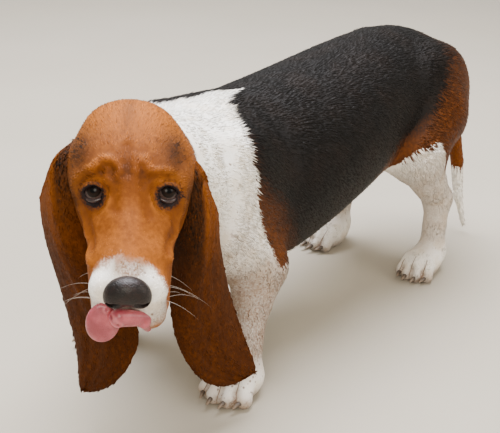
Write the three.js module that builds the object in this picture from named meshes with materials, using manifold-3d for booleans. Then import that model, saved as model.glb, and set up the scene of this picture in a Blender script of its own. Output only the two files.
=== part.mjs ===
// A standing basset hound at life size, in millimetres.
// +Z is up, the dog faces -Y and its left side is at +X. It stands on z = 0.
// The body is one sculpture of rounded forms that melt into each other. A net of faces is laid
// over it, thinned out, and parted by smooth cuts into head, neck, torso, tail, legs and paws.
// Ears, eyes, nose, tongue and claws are pieces of their own, let into the body.
import * as THREE from "three";
import { mergeVertices } from "three/addons/utils/BufferGeometryUtils.js";
import Module from "manifold-3d";

const wasm = await Module();
wasm.setup();

// Driving dimensions
const GAP = 0.3; // between two pieces that touch
const BODY_CELL = 5; // spacing of the net over the body
const HEAD_CELL = 2.4; // and over the head
const BODY_FACES = 3900; // faces kept after thinning
const HEAD_FACES = 3300;
const FINE_CELL = 1.8; // the net over nose and tongue
const SMALL_FACES = 420;
const HEAD_AT = [103, -421, 320]; // the point midway between the eyes
const HEAD_YAW = 43.7; // degrees to the dog's left
const HEAD_PITCH = 31; // degrees, nose down
const EYE_RADIUS = 12;
const EYE_AT = [37, 7, 2]; // in the head's frame, left eye
const EYE_GAZE = [0.33, -0.7, 0.64];
const EAR_THICK = 5;
const EAR_GAP = 0.7; // between the ear's bent root and the skull round it
const CLAW_LENGTH = 17;

const rad = THREE.MathUtils.degToRad;
const { lerp, clamp, smoothstep } = THREE.MathUtils;

// A frame is the matrix that carries local points to the dog's frame.
const BODY = new THREE.Matrix4();
const HEAD = new THREE.Matrix4()
  .makeRotationZ(rad(HEAD_YAW))
  .multiply(new THREE.Matrix4().makeRotationX(rad(HEAD_PITCH)))
  .setPosition(...HEAD_AT);
const SIDES = [1, -1];
const both = (make) => SIDES.flatMap((side) => make(side));

// Rounded forms. Each has a distance in its own local frame, negative inside. A form that
// carves is taken away from the ones before it.
function ball(frame, centre, radii, blend, { turn = [0, 0, 0], carve = false } = {}) {
  const [rx, ry, rz] = radii;
  const place = new THREE.Matrix4()
    .makeRotationFromEuler(new THREE.Euler(...turn.map(rad), "XYZ"))
    .setPosition(...centre);
  const local = (x, y, z) => {
    const a = x / rx;
    const b = y / ry;
    const c = z / rz;
    const k0 = Math.sqrt(a * a + b * b + c * c);
    const k1 = Math.sqrt((a * a) / (rx * rx) + (b * b) / (ry * ry) + (c * c) / (rz * rz));
    return k1 < 1e-9 ? -Math.min(rx, ry, rz) : (k0 * (k0 - 1)) / k1;
  };
  return finish(frame.clone().multiply(place), local, [0, 0, 0], Math.max(rx, ry, rz), blend, carve);
}

function limb(frame, a, b, ra, rb, blend, { carve = false, flat = 1 } = {}) {
  const A = new THREE.Vector3(...a);
  const B = new THREE.Vector3(...b);
  const length = A.distanceTo(B);
  const along = B.clone().sub(A).normalize();
  // Local z runs from a to b and local x stays level.
  const level = new THREE.Vector3(-along.y, along.x, 0);
  if (level.length() < 1e-3) level.set(1, 0, 0);
  level.normalize();
  const place = new THREE.Matrix4()
    .makeBasis(level, along.clone().cross(level), along)
    .setPosition(A);
  const local = (x, y, z) => {
    const t = clamp(z / length, 0, 1);
    const w = y / flat;
    const past = z - t * length;
    return Math.sqrt(x * x + w * w + past * past) - (ra + (rb - ra) * t);
  };
  const reach = length / 2 + Math.max(ra, rb) * Math.max(1, flat);
  return finish(frame.clone().multiply(place), local, [0, 0, length / 2], reach, blend, carve);
}

function finish(place, local, centre, reach, blend, carve) {
  const at = new THREE.Vector3(...centre).applyMatrix4(place);
  return { inverse: place.clone().invert().elements, local, at, reach, blend, carve };
}

// A value that varies smoothly through a list of stations.
function profile(stations, values) {
  const n = stations.length;
  const slope = values.map((_, i) => {
    const a = Math.max(i - 1, 0);
    const b = Math.min(i + 1, n - 1);
    return (values[b] - values[a]) / (stations[b] - stations[a]);
  });
  return (s) => {
    if (s <= stations[0]) return values[0];
    if (s >= stations[n - 1]) return values[n - 1];
    let i = 0;
    while (s > stations[i + 1]) i++;
    const h = stations[i + 1] - stations[i];
    const t = (s - stations[i]) / h;
    const t2 = t * t;
    const t3 = t2 * t;
    return (
      (2 * t3 - 3 * t2 + 1) * values[i] +
      (t3 - 2 * t2 + t) * h * slope[i] +
      (3 * t2 - 2 * t3) * values[i + 1] +
      (t3 - t2) * h * slope[i + 1]
    );
  };
}

// The trunk from breastbone to buttocks: a loft whose sections follow its outline.
const TRUNK = {
  y: [-300, -262, -200, -130, -50, 30, 110, 180, 245, 305, 348],
  top: [246, 316, 346, 357, 362, 369, 379, 384, 378, 352, 305],
  bottom: [185, 135, 108, 106, 124, 148, 168, 182, 195, 215, 250],
  half: [34, 74, 98, 112, 118, 117, 107, 98, 94, 78, 42],
};
function trunk(blend) {
  const top = profile(TRUNK.y, TRUNK.top);
  const bottom = profile(TRUNK.y, TRUNK.bottom);
  const half = profile(TRUNK.y, TRUNK.half);
  const local = (x, y, z) => {
    const s = clamp(y, TRUNK.y[0], TRUNK.y.at(-1));
    const hi = top(s);
    const lo = bottom(s);
    const h = (hi - lo) / 2;
    const dz = z - (hi + lo) / 2;
    const q = Math.hypot(x / half(s), dz / h);
    const section = q < 1e-6 ? -h : Math.hypot(x, dz) * (1 - 1 / q);
    const past = y - s;
    if (past === 0) return section;
    return Math.hypot(Math.max(section, 0), past) + Math.min(section, 0);
  };
  return finish(BODY, local, [0, 24, 230], 410, blend, false);
}

// Each leg stands on its own paw, and the near and far legs stand a little differently.
const FRONT = {
  1: { elbow: [96, -190, 152], wrist: [97, -230, 66], paw: [108, -252, 0], heading: 12 },
  "-1": { elbow: [-96, -186, 152], wrist: [-99, -238, 66], paw: [-109, -266, 0], heading: -12 },
};
const HIND = {
  1: { knee: [93, 166, 214], hock: [87, 253, 114], paw: [91, 212, 0], heading: 8 },
  "-1": { knee: [-90, 160, 214], hock: [-83, 243, 114], paw: [-86, 198, 0], heading: -8 },
};
// Across, reach forward and radius of each toe
const FRONT_TOES = [[-27, 33, 12.5], [-9.5, 43, 13.5], [9.5, 43, 13.5], [27, 33, 12.5]];
const HIND_TOES = [[-22, 30, 10.5], [-8, 39, 11.5], [8, 39, 11.5], [22, 30, 10.5]];

const pawFrame = ({ paw, heading }) =>
  new THREE.Matrix4().makeRotationZ(rad(heading)).setPosition(...paw);

function paw(frame, toes, width, height) {
  const pad = ball(frame, [0, 6, height * 0.55], [width, 38, height * 0.72], 12);
  const knuckles = toes.map(([x, reach, r]) =>
    limb(frame, [x * 0.72, -6, height * 0.78], [x, r - reach, r * 0.9], r * 1.02, r, 4),
  );
  return [pad, ...knuckles];
}

function frontLeg(side) {
  const leg = FRONT[side];
  const { elbow, wrist, paw: foot } = leg;
  return [
    ball(BODY, [side * 72, -226, 258], [36, 60, 84], 40, { turn: [-24, side * 8, 0] }),
    limb(BODY, [side * 74, -258, 214], [elbow[0] * 0.97, elbow[1], elbow[2] + 8], 48, 34, 34),
    limb(BODY, elbow, wrist, 31, 27, 20),
    ball(BODY, [elbow[0], elbow[1] + 14, elbow[2] + 2], [17, 15, 20], 14),
    limb(BODY, wrist, [foot[0], foot[1] + 12, 30], 30, 30, 14),
    ...paw(pawFrame(leg), FRONT_TOES, 36, 40),
  ];
}

function hindLeg(side) {
  const leg = HIND[side];
  const { knee, hock, paw: foot } = leg;
  return [
    ball(BODY, [side * 60, 252, 268], [44, 80, 94], 30, { turn: [18, side * 6, 0] }),
    limb(BODY, [side * 70, 232, 252], knee, 56, 40, 30),
    limb(BODY, knee, [hock[0], hock[1] - 8, hock[2] + 12], 40, 24, 24),
    ball(BODY, [hock[0], hock[1] + 8, hock[2] + 4], [16, 16, 20], 14),
    limb(BODY, hock, [foot[0], foot[1] + 32, 34], 21, 20, 16),
    limb(BODY, [foot[0], foot[1] + 34, 30], [foot[0], foot[1] + 6, 24], 22, 23, 14),
    ...paw(pawFrame(leg), HIND_TOES, 29, 34),
  ];
}

const NECK = [
  limb(BODY, [0, -195, 262], [34, -300, 288], 90, 70, 40),
  limb(BODY, [34, -300, 288], [64, -358, 324], 70, 56, 40),
  ball(BODY, [40, -318, 240], [38, 62, 46], 36, { turn: [-25, 0, 35] }),
];

const TAIL_LINE = [
  [0, 330, 316], [6, 368, 272], [20, 390, 205], [34, 398, 130], [44, 396, 72], [55, 403, 24],
];
const TAIL_RADII = [27, 19, 15, 12, 9, 5];
const TAIL = TAIL_LINE.slice(1).map((end, i) =>
  limb(BODY, TAIL_LINE[i], end, TAIL_RADII[i], TAIL_RADII[i + 1], i === 0 ? 22 : 3),
);

// The head, in its own frame: x to its left, -y towards the nose, z out of the crown.
const HANG = [0, -Math.sin(rad(HEAD_PITCH)), -Math.cos(rad(HEAD_PITCH))]; // straight down
const hang = (p, drop) => p.map((v, i) => v + HANG[i] * drop);
const SKULL = [
  ball(HEAD, [-3, 48, 0], [68, 62, 45], 20),
  ball(HEAD, [-5, 90, 14], [40, 26, 24], 30),
  limb(HEAD, [0, 20, -6], [0, -96, -15], 34, 26, 22, { flat: 0.94 }),
  ...both((s) => [
    ball(HEAD, [s * 27, 24, 20], [21, 15, 12], 12, { turn: [0, 0, s * -18] }),
    ball(HEAD, [s * 52, 20, 6], [12, 14, 12], 12),
    ball(HEAD, [s * 47, 34, -15], [18, 40, 25], 18),
    ball(HEAD, [s * 35, 12, -38], [23, 44, 30], 22),
    limb(HEAD, [s * 24, -30, -24], hang([s * 25, -36, -24], 34), 24, 20, 16),
    limb(HEAD, [s * 22, -66, -23], hang([s * 24, -70, -23], 42), 24, 19, 16),
    limb(HEAD, [s * 17, -94, -24], hang([s * 22, -97, -26], 28), 21, 18, 12),
    ball(HEAD, [s * 26, -99, -21], [16, 17, 19], 7, { turn: [0, 0, s * 12] }),
  ]),
];
const JAW = [
  limb(HEAD, [0, 30, -58], [0, -82, -68], 34, 16, 9),
  ball(HEAD, [0, -96, -72], [16, 17, 12], 8),
  ball(HEAD, [0, -104, -56], [16, 22, 6], 5, { carve: true }),
];

// Around each eye: the lids' swelling, the rolls over and under it, and the opening.
// In the eye's frame x points outward, y up along the lid and z out along the gaze.
function eyeFrame(side) {
  const gaze = new THREE.Vector3(...EYE_GAZE).normalize();
  const out = new THREE.Vector3(0.9, 0.3, -0.35);
  out.addScaledVector(gaze, -out.dot(gaze)).normalize();
  const up = gaze.clone().cross(out).normalize();
  const frame = new THREE.Matrix4().makeBasis(out, up, gaze).setPosition(...EYE_AT);
  const mirror = new THREE.Matrix4().makeScale(side, 1, 1);
  return HEAD.clone().multiply(mirror).multiply(frame);
}
const UPPER_LID = [[-14, 0, 6], [-8, 10, 8.5], [1, 13, 9], [10, 8, 8], [15, -2, 4]];
const LOWER_LID = [[-14, -1, 6], [-9, -12, 9], [0, -16, 9], [9, -12, 8], [15, -3, 4]];
const roll = (frame, line, radius, blend) =>
  line.slice(1).map((end, i) => limb(frame, line[i], end, radius, radius, blend));
function lids(side) {
  const frame = eyeFrame(side);
  return [
    ball(frame, [0, 0, 15], [19, 18, 7], 8, { carve: true }),
    ball(frame, [0, 0, 0], [14, 14, 14], 6),
    ...roll(frame, UPPER_LID, 2.8, 4),
    ...roll(frame, LOWER_LID, 2.4, 3),
    ball(frame, [0, 1, 13], [11.5, 10, 8.5], 2, { carve: true }),
    ball(frame, [0, -7, 13], [9, 8, 6.5], 3, { carve: true }),
  ];
}

const BODY_FORMS = [trunk(0), ...both(frontLeg), ...both(hindLeg), ...NECK, ...TAIL];
const HEAD_FORMS = [...SKULL, ...JAW, ...both(lids)];
const DOG = [...BODY_FORMS, ...HEAD_FORMS];

// The nose leather, with its wings and nostrils
const NOSE = [
  ball(HEAD, [0, -115, -2], [22, 15, 16], 2),
  ...both((s) => [
    ball(HEAD, [s * 14, -119, -9], [10, 10, 11], 8),
    limb(HEAD, [s * 10, -130, -7], [s * 18, -125, -9], 3.6, 3, 2, { carve: true }),
    limb(HEAD, [s * 18, -125, -9], [s * 22, -116, -15], 3, 1.6, 2, { carve: true }),
  ]),
  limb(HEAD, [0, -134, -5], [0, -129, -21], 1.6, 1.6, 2, { carve: true }),
];

// The tongue comes out between lip and chin, folds over and hangs to the dog's right.
const TONGUE = [
  limb(HEAD, [3, -84, -58], [4, -116, -50], 9, 10, 4),
  limb(HEAD, [17, -122, -44], [-9, -130, -29], 7, 9, 5, { flat: 1.2 }),
  limb(HEAD, [17, -122, -44], [18, -117, -64], 6.5, 5, 3),
  ball(HEAD, [-26, -126, -45], [18, 7, 24], 1.5, { turn: [-25, 0, 15] }),
];

// The sculpture's distance at one point. Outside the reach of every form it is FAR.
const FAR = 60;
const REACH_MARGIN = 4;
function joinSmooth(a, b, k) {
  const near = Math.max(k - Math.abs(a - b), 0);
  return k > 0 ? Math.min(a, b) - (near * near) / (4 * k) : Math.min(a, b);
}
function distance(forms, x, y, z) {
  let d = FAR;
  for (const f of forms) {
    const m = f.inverse;
    const own = f.local(
      m[0] * x + m[4] * y + m[8] * z + m[12],
      m[1] * x + m[5] * y + m[9] * z + m[13],
      m[2] * x + m[6] * y + m[10] * z + m[14],
    );
    d = f.carve ? -joinSmooth(-d, own, f.blend) : joinSmooth(d, own, f.blend);
  }
  return d;
}
function formsNear(forms, x, y, z, radius) {
  return forms.filter(
    (f) => Math.hypot(x - f.at.x, y - f.at.y, z - f.at.z) < f.reach + f.blend + radius + REACH_MARGIN,
  );
}

// How the surface can pass through one cell of a grid. A cell's corners are numbered by bits,
// its edges run from a corner to the corner with one more bit, and each of the 256 patterns of
// inside corners gives the sheets of surface in the cell, each with the edges that it crosses.
const CORNERS = [0, 1, 2, 3, 4, 5, 6, 7].map((c) => [c & 1, (c >> 1) & 1, c >> 2]);
const EDGES = [];
const EDGE_AT = CORNERS.map(() => ({}));
for (let a = 0; a < 8; a++)
  for (const bit of [1, 2, 4])
    if (!(a & bit)) {
      EDGE_AT[a][bit] = EDGES.length;
      EDGES.push([a, a | bit]);
    }
const edgeBetween = (a, b) => EDGE_AT[Math.min(a, b)][a ^ b];
const CELL_FACES = [[1, 2, 4], [2, 4, 1], [4, 1, 2]].flatMap(([u, v, w]) =>
  [0, w].map((side) => [side, side | u, side | u | v, side | v]),
);
const SHEETS = Array.from({ length: 256 }, (_, mask) => {
  const inside = (c) => (mask >> c) & 1;
  const sheet = EDGES.map(([a, b], e) => (inside(a) !== inside(b) ? e : -1));
  const join = (e, f) => {
    const [keepId, dropId] = [sheet[e], sheet[f]];
    sheet.forEach((s, i) => s === dropId && (sheet[i] = keepId));
  };
  for (const ring of CELL_FACES) {
    const crossed = ring.map((c, i) => edgeBetween(c, ring[(i + 1) % 4])).filter((e) => sheet[e] >= 0);
    if (crossed.length === 2) join(...crossed);
    // Where two inside corners face each other across a side, they stay apart.
    if (crossed.length === 4)
      ring.forEach((c, i) => {
        if (inside(c)) join(edgeBetween(c, ring[(i + 1) % 4]), edgeBetween(c, ring[(i + 3) % 4]));
      });
  }
  const ids = [...new Set(sheet.filter((s) => s >= 0))];
  return { sheet: sheet.map((s) => ids.indexOf(s)), sheets: ids.length };
});

// A net over the surface: one vertex in each grid cell that the surface passes through.
// Blocks of cells that lie well away from the surface are filled without being sampled.
const BLOCK = 8;
function surfaceNet(forms, low, high, cell) {
  const size = [0, 1, 2].map((i) => Math.ceil((high[i] - low[i]) / cell) + 3);
  const [nx, ny, nz] = size;
  const at = (i, axis) => low[axis] + (i - 1) * cell;
  const index = (i, j, k) => i + nx * (j + ny * k);
  const values = new Float32Array(nx * ny * nz).fill(FAR);
  const half = ((BLOCK - 1) * cell) / 2;
  const span = half * Math.sqrt(3);
  for (let bk = 1; bk < nz - 1; bk += BLOCK)
    for (let bj = 1; bj < ny - 1; bj += BLOCK)
      for (let bi = 1; bi < nx - 1; bi += BLOCK) {
        const centre = [at(bi, 0) + half, at(bj, 1) + half, at(bk, 2) + half];
        const near = formsNear(forms, ...centre, span);
        if (near.length === 0) continue;
        const mid = distance(near, ...centre);
        const skip = Math.abs(mid) > span * 2.2;
        for (let k = bk; k < Math.min(bk + BLOCK, nz - 1); k++)
          for (let j = bj; j < Math.min(bj + BLOCK, ny - 1); j++)
            for (let i = bi; i < Math.min(bi + BLOCK, nx - 1); i++) {
              const d = skip ? mid : distance(near, at(i, 0), at(j, 1), at(k, 2));
              values[index(i, j, k)] = d === 0 ? 1e-6 : d;
            }
      }
  // Each cell that the surface passes through gets one vertex for each sheet of it.
  const steps = CORNERS.map(([a, b, c]) => index(a, b, c));
  const firstVertex = new Int32Array(nx * ny * nz);
  const insideMask = new Uint8Array(nx * ny * nz);
  const points = [];
  const v = new Float32Array(8);
  for (let k = 0; k < nz - 1; k++)
    for (let j = 0; j < ny - 1; j++)
      for (let i = 0; i < nx - 1; i++) {
        const base = index(i, j, k);
        let mask = 0;
        for (let c = 0; c < 8; c++) {
          v[c] = values[base + steps[c]];
          if (v[c] < 0) mask |= 1 << c;
        }
        if (mask === 0 || mask === 255) continue;
        insideMask[base] = mask;
        firstVertex[base] = points.length;
        const { sheet, sheets } = SHEETS[mask];
        for (let s = 0; s < sheets; s++) {
          let count = 0;
          const sum = [0, 0, 0];
          EDGES.forEach(([a, b], e) => {
            if (sheet[e] !== s) return;
            const t = v[a] / (v[a] - v[b]);
            for (let axis = 0; axis < 3; axis++)
              sum[axis] += lerp(CORNERS[a][axis], CORNERS[b][axis], t);
            count++;
          });
          points.push(sum.map((x, axis) => at([i, j, k][axis] + x / count, axis)));
        }
      }
  const faces = [];
  const apart = (a, b) => Math.hypot(...[0, 1, 2].map((i) => points[a][i] - points[b][i]));
  const quad = (ring, flip) => {
    const [p, q, r, s] = flip ? ring : ring.reverse();
    if (apart(p, r) <= apart(q, s)) faces.push([p, q, r], [p, r, s]);
    else faces.push([p, q, s], [q, r, s]);
  };
  // The vertex of a cell on the sheet that crosses the grid edge from one of its corners
  const vertexAt = (i, j, k, corner, bit) => {
    const base = index(i, j, k);
    return firstVertex[base] + SHEETS[insideMask[base]].sheet[EDGE_AT[corner][bit]];
  };
  const crosses = (a, b) => values[a] < 0 !== values[b] < 0;
  for (let k = 0; k < nz - 1; k++)
    for (let j = 0; j < ny - 1; j++)
      for (let i = 0; i < nx - 1; i++) {
        const here = index(i, j, k);
        const inside = values[here] < 0;
        if (j > 0 && k > 0 && crosses(here, index(i + 1, j, k)))
          quad([
            vertexAt(i, j, k, 0, 1), vertexAt(i, j - 1, k, 2, 1),
            vertexAt(i, j - 1, k - 1, 6, 1), vertexAt(i, j, k - 1, 4, 1),
          ], inside);
        if (i > 0 && k > 0 && crosses(here, index(i, j + 1, k)))
          quad([
            vertexAt(i, j, k, 0, 2), vertexAt(i, j, k - 1, 4, 2),
            vertexAt(i - 1, j, k - 1, 5, 2), vertexAt(i - 1, j, k, 1, 2),
          ], inside);
        if (i > 0 && j > 0 && crosses(here, index(i, j, k + 1)))
          quad([
            vertexAt(i, j, k, 0, 4), vertexAt(i - 1, j, k, 1, 4),
            vertexAt(i - 1, j - 1, k, 3, 4), vertexAt(i, j - 1, k, 2, 4),
          ], inside);
      }
  return { points, faces };
}

// Thins a closed net out by collapsing the edge that moves the surface least, again and again.
// A quadric is the symmetric form that gives the squared distance to a vertex's planes.
function thin({ points, faces }, target, detail = () => 1) {
  const P = points.map((p) => [...p]);
  const F = faces.map((f) => [...f]);
  const alive = new Uint8Array(F.length).fill(1);
  const around = P.map(() => new Set());
  F.forEach((f, i) => f.forEach((p) => around[p].add(i)));
  const Q = P.map(() => new Float64Array(10));
  const sub = (a, b) => [a[0] - b[0], a[1] - b[1], a[2] - b[2]];
  const cross = (a, b) => [
    a[1] * b[2] - a[2] * b[1],
    a[2] * b[0] - a[0] * b[2],
    a[0] * b[1] - a[1] * b[0],
  ];
  const dot = (a, b) => a[0] * b[0] + a[1] * b[1] + a[2] * b[2];
  const normal = (f) => cross(sub(P[f[1]], P[f[0]]), sub(P[f[2]], P[f[0]]));
  for (const f of F) {
    const n = normal(f);
    const area = Math.sqrt(dot(n, n)) || 1e-9;
    const [a, b, c] = n.map((x) => x / area);
    const d = -(a * P[f[0]][0] + b * P[f[0]][1] + c * P[f[0]][2]);
    const w = area * detail(P[f[0]]);
    const q = [a * a, a * b, a * c, a * d, b * b, b * c, b * d, c * c, c * d, d * d];
    for (const p of f) for (let i = 0; i < 10; i++) Q[p][i] += q[i] * w;
  }
  const cost = (q, [x, y, z]) =>
    q[0] * x * x + 2 * q[1] * x * y + 2 * q[2] * x * z + 2 * q[3] * x + q[4] * y * y +
    2 * q[5] * y * z + 2 * q[6] * y + q[7] * z * z + 2 * q[8] * z + q[9];
  const plan = (a, b) => {
    const q = Q[a].map((x, i) => x + Q[b][i]);
    const mid = P[a].map((x, i) => (x + P[b][i]) / 2);
    // The best place solves a 3 x 3 system, held towards the middle of the edge.
    const hold = 1e-3 * (q[0] + q[4] + q[7]);
    const [A, B, C] = [q[0] + hold, q[4] + hold, q[7] + hold];
    const r = [hold * mid[0] - q[3], hold * mid[1] - q[6], hold * mid[2] - q[8]];
    const det = A * (B * C - q[5] * q[5]) - q[1] * (q[1] * C - q[5] * q[2]) +
      q[2] * (q[1] * q[5] - B * q[2]);
    let best = mid;
    if (Math.abs(det) > 1e-12) {
      best = [
        (r[0] * (B * C - q[5] * q[5]) - q[1] * (r[1] * C - q[5] * r[2]) +
          q[2] * (r[1] * q[5] - B * r[2])) / det,
        (A * (r[1] * C - q[5] * r[2]) - r[0] * (q[1] * C - q[5] * q[2]) +
          q[2] * (q[1] * r[2] - r[1] * q[2])) / det,
        (A * (B * r[2] - r[1] * q[5]) - q[1] * (q[1] * r[2] - r[1] * q[2]) +
          r[0] * (q[1] * q[5] - B * q[2])) / det,
      ];
      const reach = Math.hypot(...sub(P[a], P[b]));
      if (Math.hypot(...sub(best, mid)) > reach) best = mid;
    }
    const edge = sub(P[a], P[b]);
    return { at: best, cost: Math.max(cost(q, best), 0) + 1e-5 * dot(edge, edge) };
  };
  // A heap of edges, each with the versions of its two ends when it was planned
  const version = new Int32Array(P.length);
  const heap = [];
  const swap = (i, j) => {
    const t = heap[i];
    heap[i] = heap[j];
    heap[j] = t;
  };
  const push = (item) => {
    heap.push(item);
    for (let i = heap.length - 1; i > 0; ) {
      const up = (i - 1) >> 1;
      if (heap[up].cost <= heap[i].cost) break;
      swap(i, up);
      i = up;
    }
  };
  const pop = () => {
    swap(0, heap.length - 1);
    const item = heap.pop();
    for (let i = 0; ; ) {
      let low = i;
      for (const c of [2 * i + 1, 2 * i + 2])
        if (c < heap.length && heap[c].cost < heap[low].cost) low = c;
      if (low === i) break;
      swap(i, low);
      i = low;
    }
    return item;
  };
  const offer = (a, b) => push({ a, b, va: version[a], vb: version[b], ...plan(a, b) });
  F.forEach((f) => [0, 1, 2].forEach((i) => f[i] < f[(i + 1) % 3] && offer(f[i], f[(i + 1) % 3])));
  const neighbours = (p) => {
    const set = new Set();
    for (const i of around[p]) for (const q of F[i]) if (q !== p) set.add(q);
    return set;
  };
  const FLIP_LIMIT = 0.2; // smallest cosine between a face's old and new direction
  const SLIVER = 0.04; // least area of a face against the square of its longest side
  const turnsOver = (p, other, to) => {
    for (const i of around[p]) {
      const f = F[i];
      if (f.includes(other)) continue;
      const before = normal(f);
      const [a, b, c] = f.map((q) => (q === p ? to : P[q]));
      const after = cross(sub(b, a), sub(c, a));
      const lengths = Math.sqrt(dot(before, before) * dot(after, after));
      if (dot(before, after) < FLIP_LIMIT * lengths) return true;
      const longest = Math.max(...[[a, b], [b, c], [c, a]].map(([s, t]) => dot(sub(s, t), sub(s, t))));
      if (Math.sqrt(dot(after, after)) < SLIVER * longest) return true;
    }
    return false;
  };
  let count = F.length;
  while (count > target && heap.length > 0) {
    const { a, b, va, vb, at: to } = pop();
    if (version[a] !== va || version[b] !== vb) continue;
    const shared = [...neighbours(a)].filter((q) => neighbours(b).has(q));
    if (shared.length !== 2 || turnsOver(a, b, to) || turnsOver(b, a, to)) continue;
    for (const i of [...around[b]]) {
      if (F[i].includes(a)) {
        alive[i] = 0;
        count--;
        F[i].forEach((q) => around[q].delete(i));
      } else {
        F[i] = F[i].map((q) => (q === b ? a : q));
        around[a].add(i);
      }
    }
    around[b].clear();
    P[a] = to;
    Q[b].forEach((x, i) => (Q[a][i] += x));
    version[a]++;
    version[b] = -1;
    for (const q of neighbours(a)) offer(a, q);
  }
  return { points: P, faces: F.filter((_, i) => alive[i]) };
}

// The same net with every vertex moved outward, to cut the room that a piece sits in
function swell({ points, faces }, grow) {
  const out = points.map(() => new THREE.Vector3());
  const [a, b, c] = [0, 1, 2].map(() => new THREE.Vector3());
  for (const f of faces) {
    [a, b, c].forEach((v, i) => v.fromArray(points[f[i]]));
    b.sub(a);
    const normal = b.cross(c.sub(a));
    for (const p of f) out[p].add(normal);
  }
  return {
    points: points.map((p, i) => out[i].setLength(grow).add(a.fromArray(p)).toArray()),
    faces,
  };
}

// Closed solids for cutting and joining
function solid({ points, faces }) {
  const used = new Map();
  const flat = [];
  const triVerts = new Uint32Array(faces.length * 3);
  faces.flat().forEach((p, i) => {
    if (!used.has(p)) {
      used.set(p, used.size);
      flat.push(...points[p]);
    }
    triVerts[i] = used.get(p);
  });
  const mesh = new wasm.Mesh({ numProp: 3, vertProperties: new Float32Array(flat), triVerts });
  return new wasm.Manifold(mesh);
}
function solidOf(geometry) {
  const bare = geometry.clone();
  bare.deleteAttribute("normal");
  bare.deleteAttribute("uv");
  const merged = mergeVertices(bare, 1e-4);
  const mesh = new wasm.Mesh({
    numProp: 3,
    vertProperties: new Float32Array(merged.attributes.position.array),
    triVerts: new Uint32Array(merged.index.array),
  });
  return new wasm.Manifold(mesh);
}
function largest(piece) {
  return piece.decompose().reduce((best, p) => (p.volume() > best.volume() ? p : best));
}
function geometryOf(piece) {
  const { vertProperties, triVerts } = piece.getMesh();
  const geometry = new THREE.BufferGeometry();
  geometry.setAttribute("position", new THREE.BufferAttribute(vertProperties, 3));
  geometry.setIndex(new THREE.BufferAttribute(triVerts, 1));
  geometry.computeVertexNormals();
  return geometry;
}
const box = (low, high) =>
  solidOf(
    new THREE.BoxGeometry(...high.map((h, i) => h - low[i])).translate(
      ...high.map((h, i) => (h + low[i]) / 2),
    ),
  );
const globe = (centre, radii, round = 18) =>
  solidOf(
    new THREE.SphereGeometry(1, round, round / 2).scale(...radii).translate(...centre),
  );
// All that lies beyond a plane, within a wide block
const WIDE = 900;
function beyond(point, normal, back = 0) {
  const n = new THREE.Vector3(...normal).normalize();
  const block = new THREE.BoxGeometry(WIDE, WIDE, WIDE).translate(0, 0, WIDE / 2 - back);
  const turn = new THREE.Quaternion().setFromUnitVectors(new THREE.Vector3(0, 0, 1), n);
  return solidOf(block.applyQuaternion(turn).translate(...point));
}

// Ears: a curved leather sheet carried by three curves, its rear edge, its ridge and its
// front edge, each from the root in the skull down to the tip.
const EARS = {
  1: {
    rear: [[97, -327, 346], [116, -320, 311], [122, -305, 276], [124, -300, 229],
      [133, -290, 164], [147, -278, 111], [160, -263, 68]],
    ridge: [[106, -341, 354], [135, -350, 327], [145, -352, 286], [146, -354, 236],
      [143, -352, 171], [146, -338, 105], [153, -312, 55]],
    front: [[120, -358, 351], [128, -368, 325], [126, -374, 285], [106, -368, 230],
      [119, -377, 173], [130, -377, 124], [140, -352, 49]],
    tipAt: 0.1,
  },
  "-1": {
    rear: [[2, -402, 343], [-13, -430, 317], [-32, -434, 285], [-27, -434, 237],
      [0, -433, 166], [16, -431, 109], [17, -431, 53]],
    ridge: [[12, -413, 362], [16, -448, 346], [29, -462, 304], [35, -458, 249],
      [54, -440, 171], [60, -432, 113], [54, -428, 58]],
    front: [[26, -420, 356], [42, -440, 335], [50, -443, 294], [51, -423, 244],
      [97, -410, 160], [100, -409, 115], [92, -405, 63]],
    tipAt: 0.1,
  },
};
const EAR_ROOT = 0.14; // share of the length that lies against the skull, at the rear edge
const EAR_ROOT_FRONT = 0.62; // and at the front edge, which grows down the temple
const EAR_CLEAR = 2.5; // from the face, cheek and neck
const TIP_FROM = 0.62; // where the lobe begins to round off
const BLUNT = 2.6; // how square the lobe ends
const EAR_STEPS = 17;
const EAR_ACROSS = 8;
const EVEN_SHARE = 0.5; // share of the steps above the rounding of the lobe
function earPoint(ear, u, v) {
  const stations = ear.rear.map((_, i) => i / (ear.rear.length - 1));
  const along = (line) => [0, 1, 2].map((i) => profile(stations, line.map((p) => p[i]))(clamp(u, 0, 1)));
  const [rear, ridge, front] = [ear.rear, ear.ridge, ear.front].map(along);
  const t = clamp((u - TIP_FROM) / (1 - TIP_FROM), 0, 1);
  const w = ear.tipAt + (v - ear.tipAt) * Math.pow(1 - Math.pow(t, BLUNT), 1 / BLUNT);
  const point = rear.map(
    (r, i) => r * 2 * (w - 0.5) * (w - 1) + ridge[i] * 4 * w * (1 - w) + front[i] * 2 * w * (w - 0.5),
  );
  const root = lerp(EAR_ROOT, EAR_ROOT_FRONT, smoothstep(v, 0.45, 1));
  return clearOfBody(point, lerp(-9, EAR_THICK / 2 + EAR_CLEAR, smoothstep(u, 0, root)));
}
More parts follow.
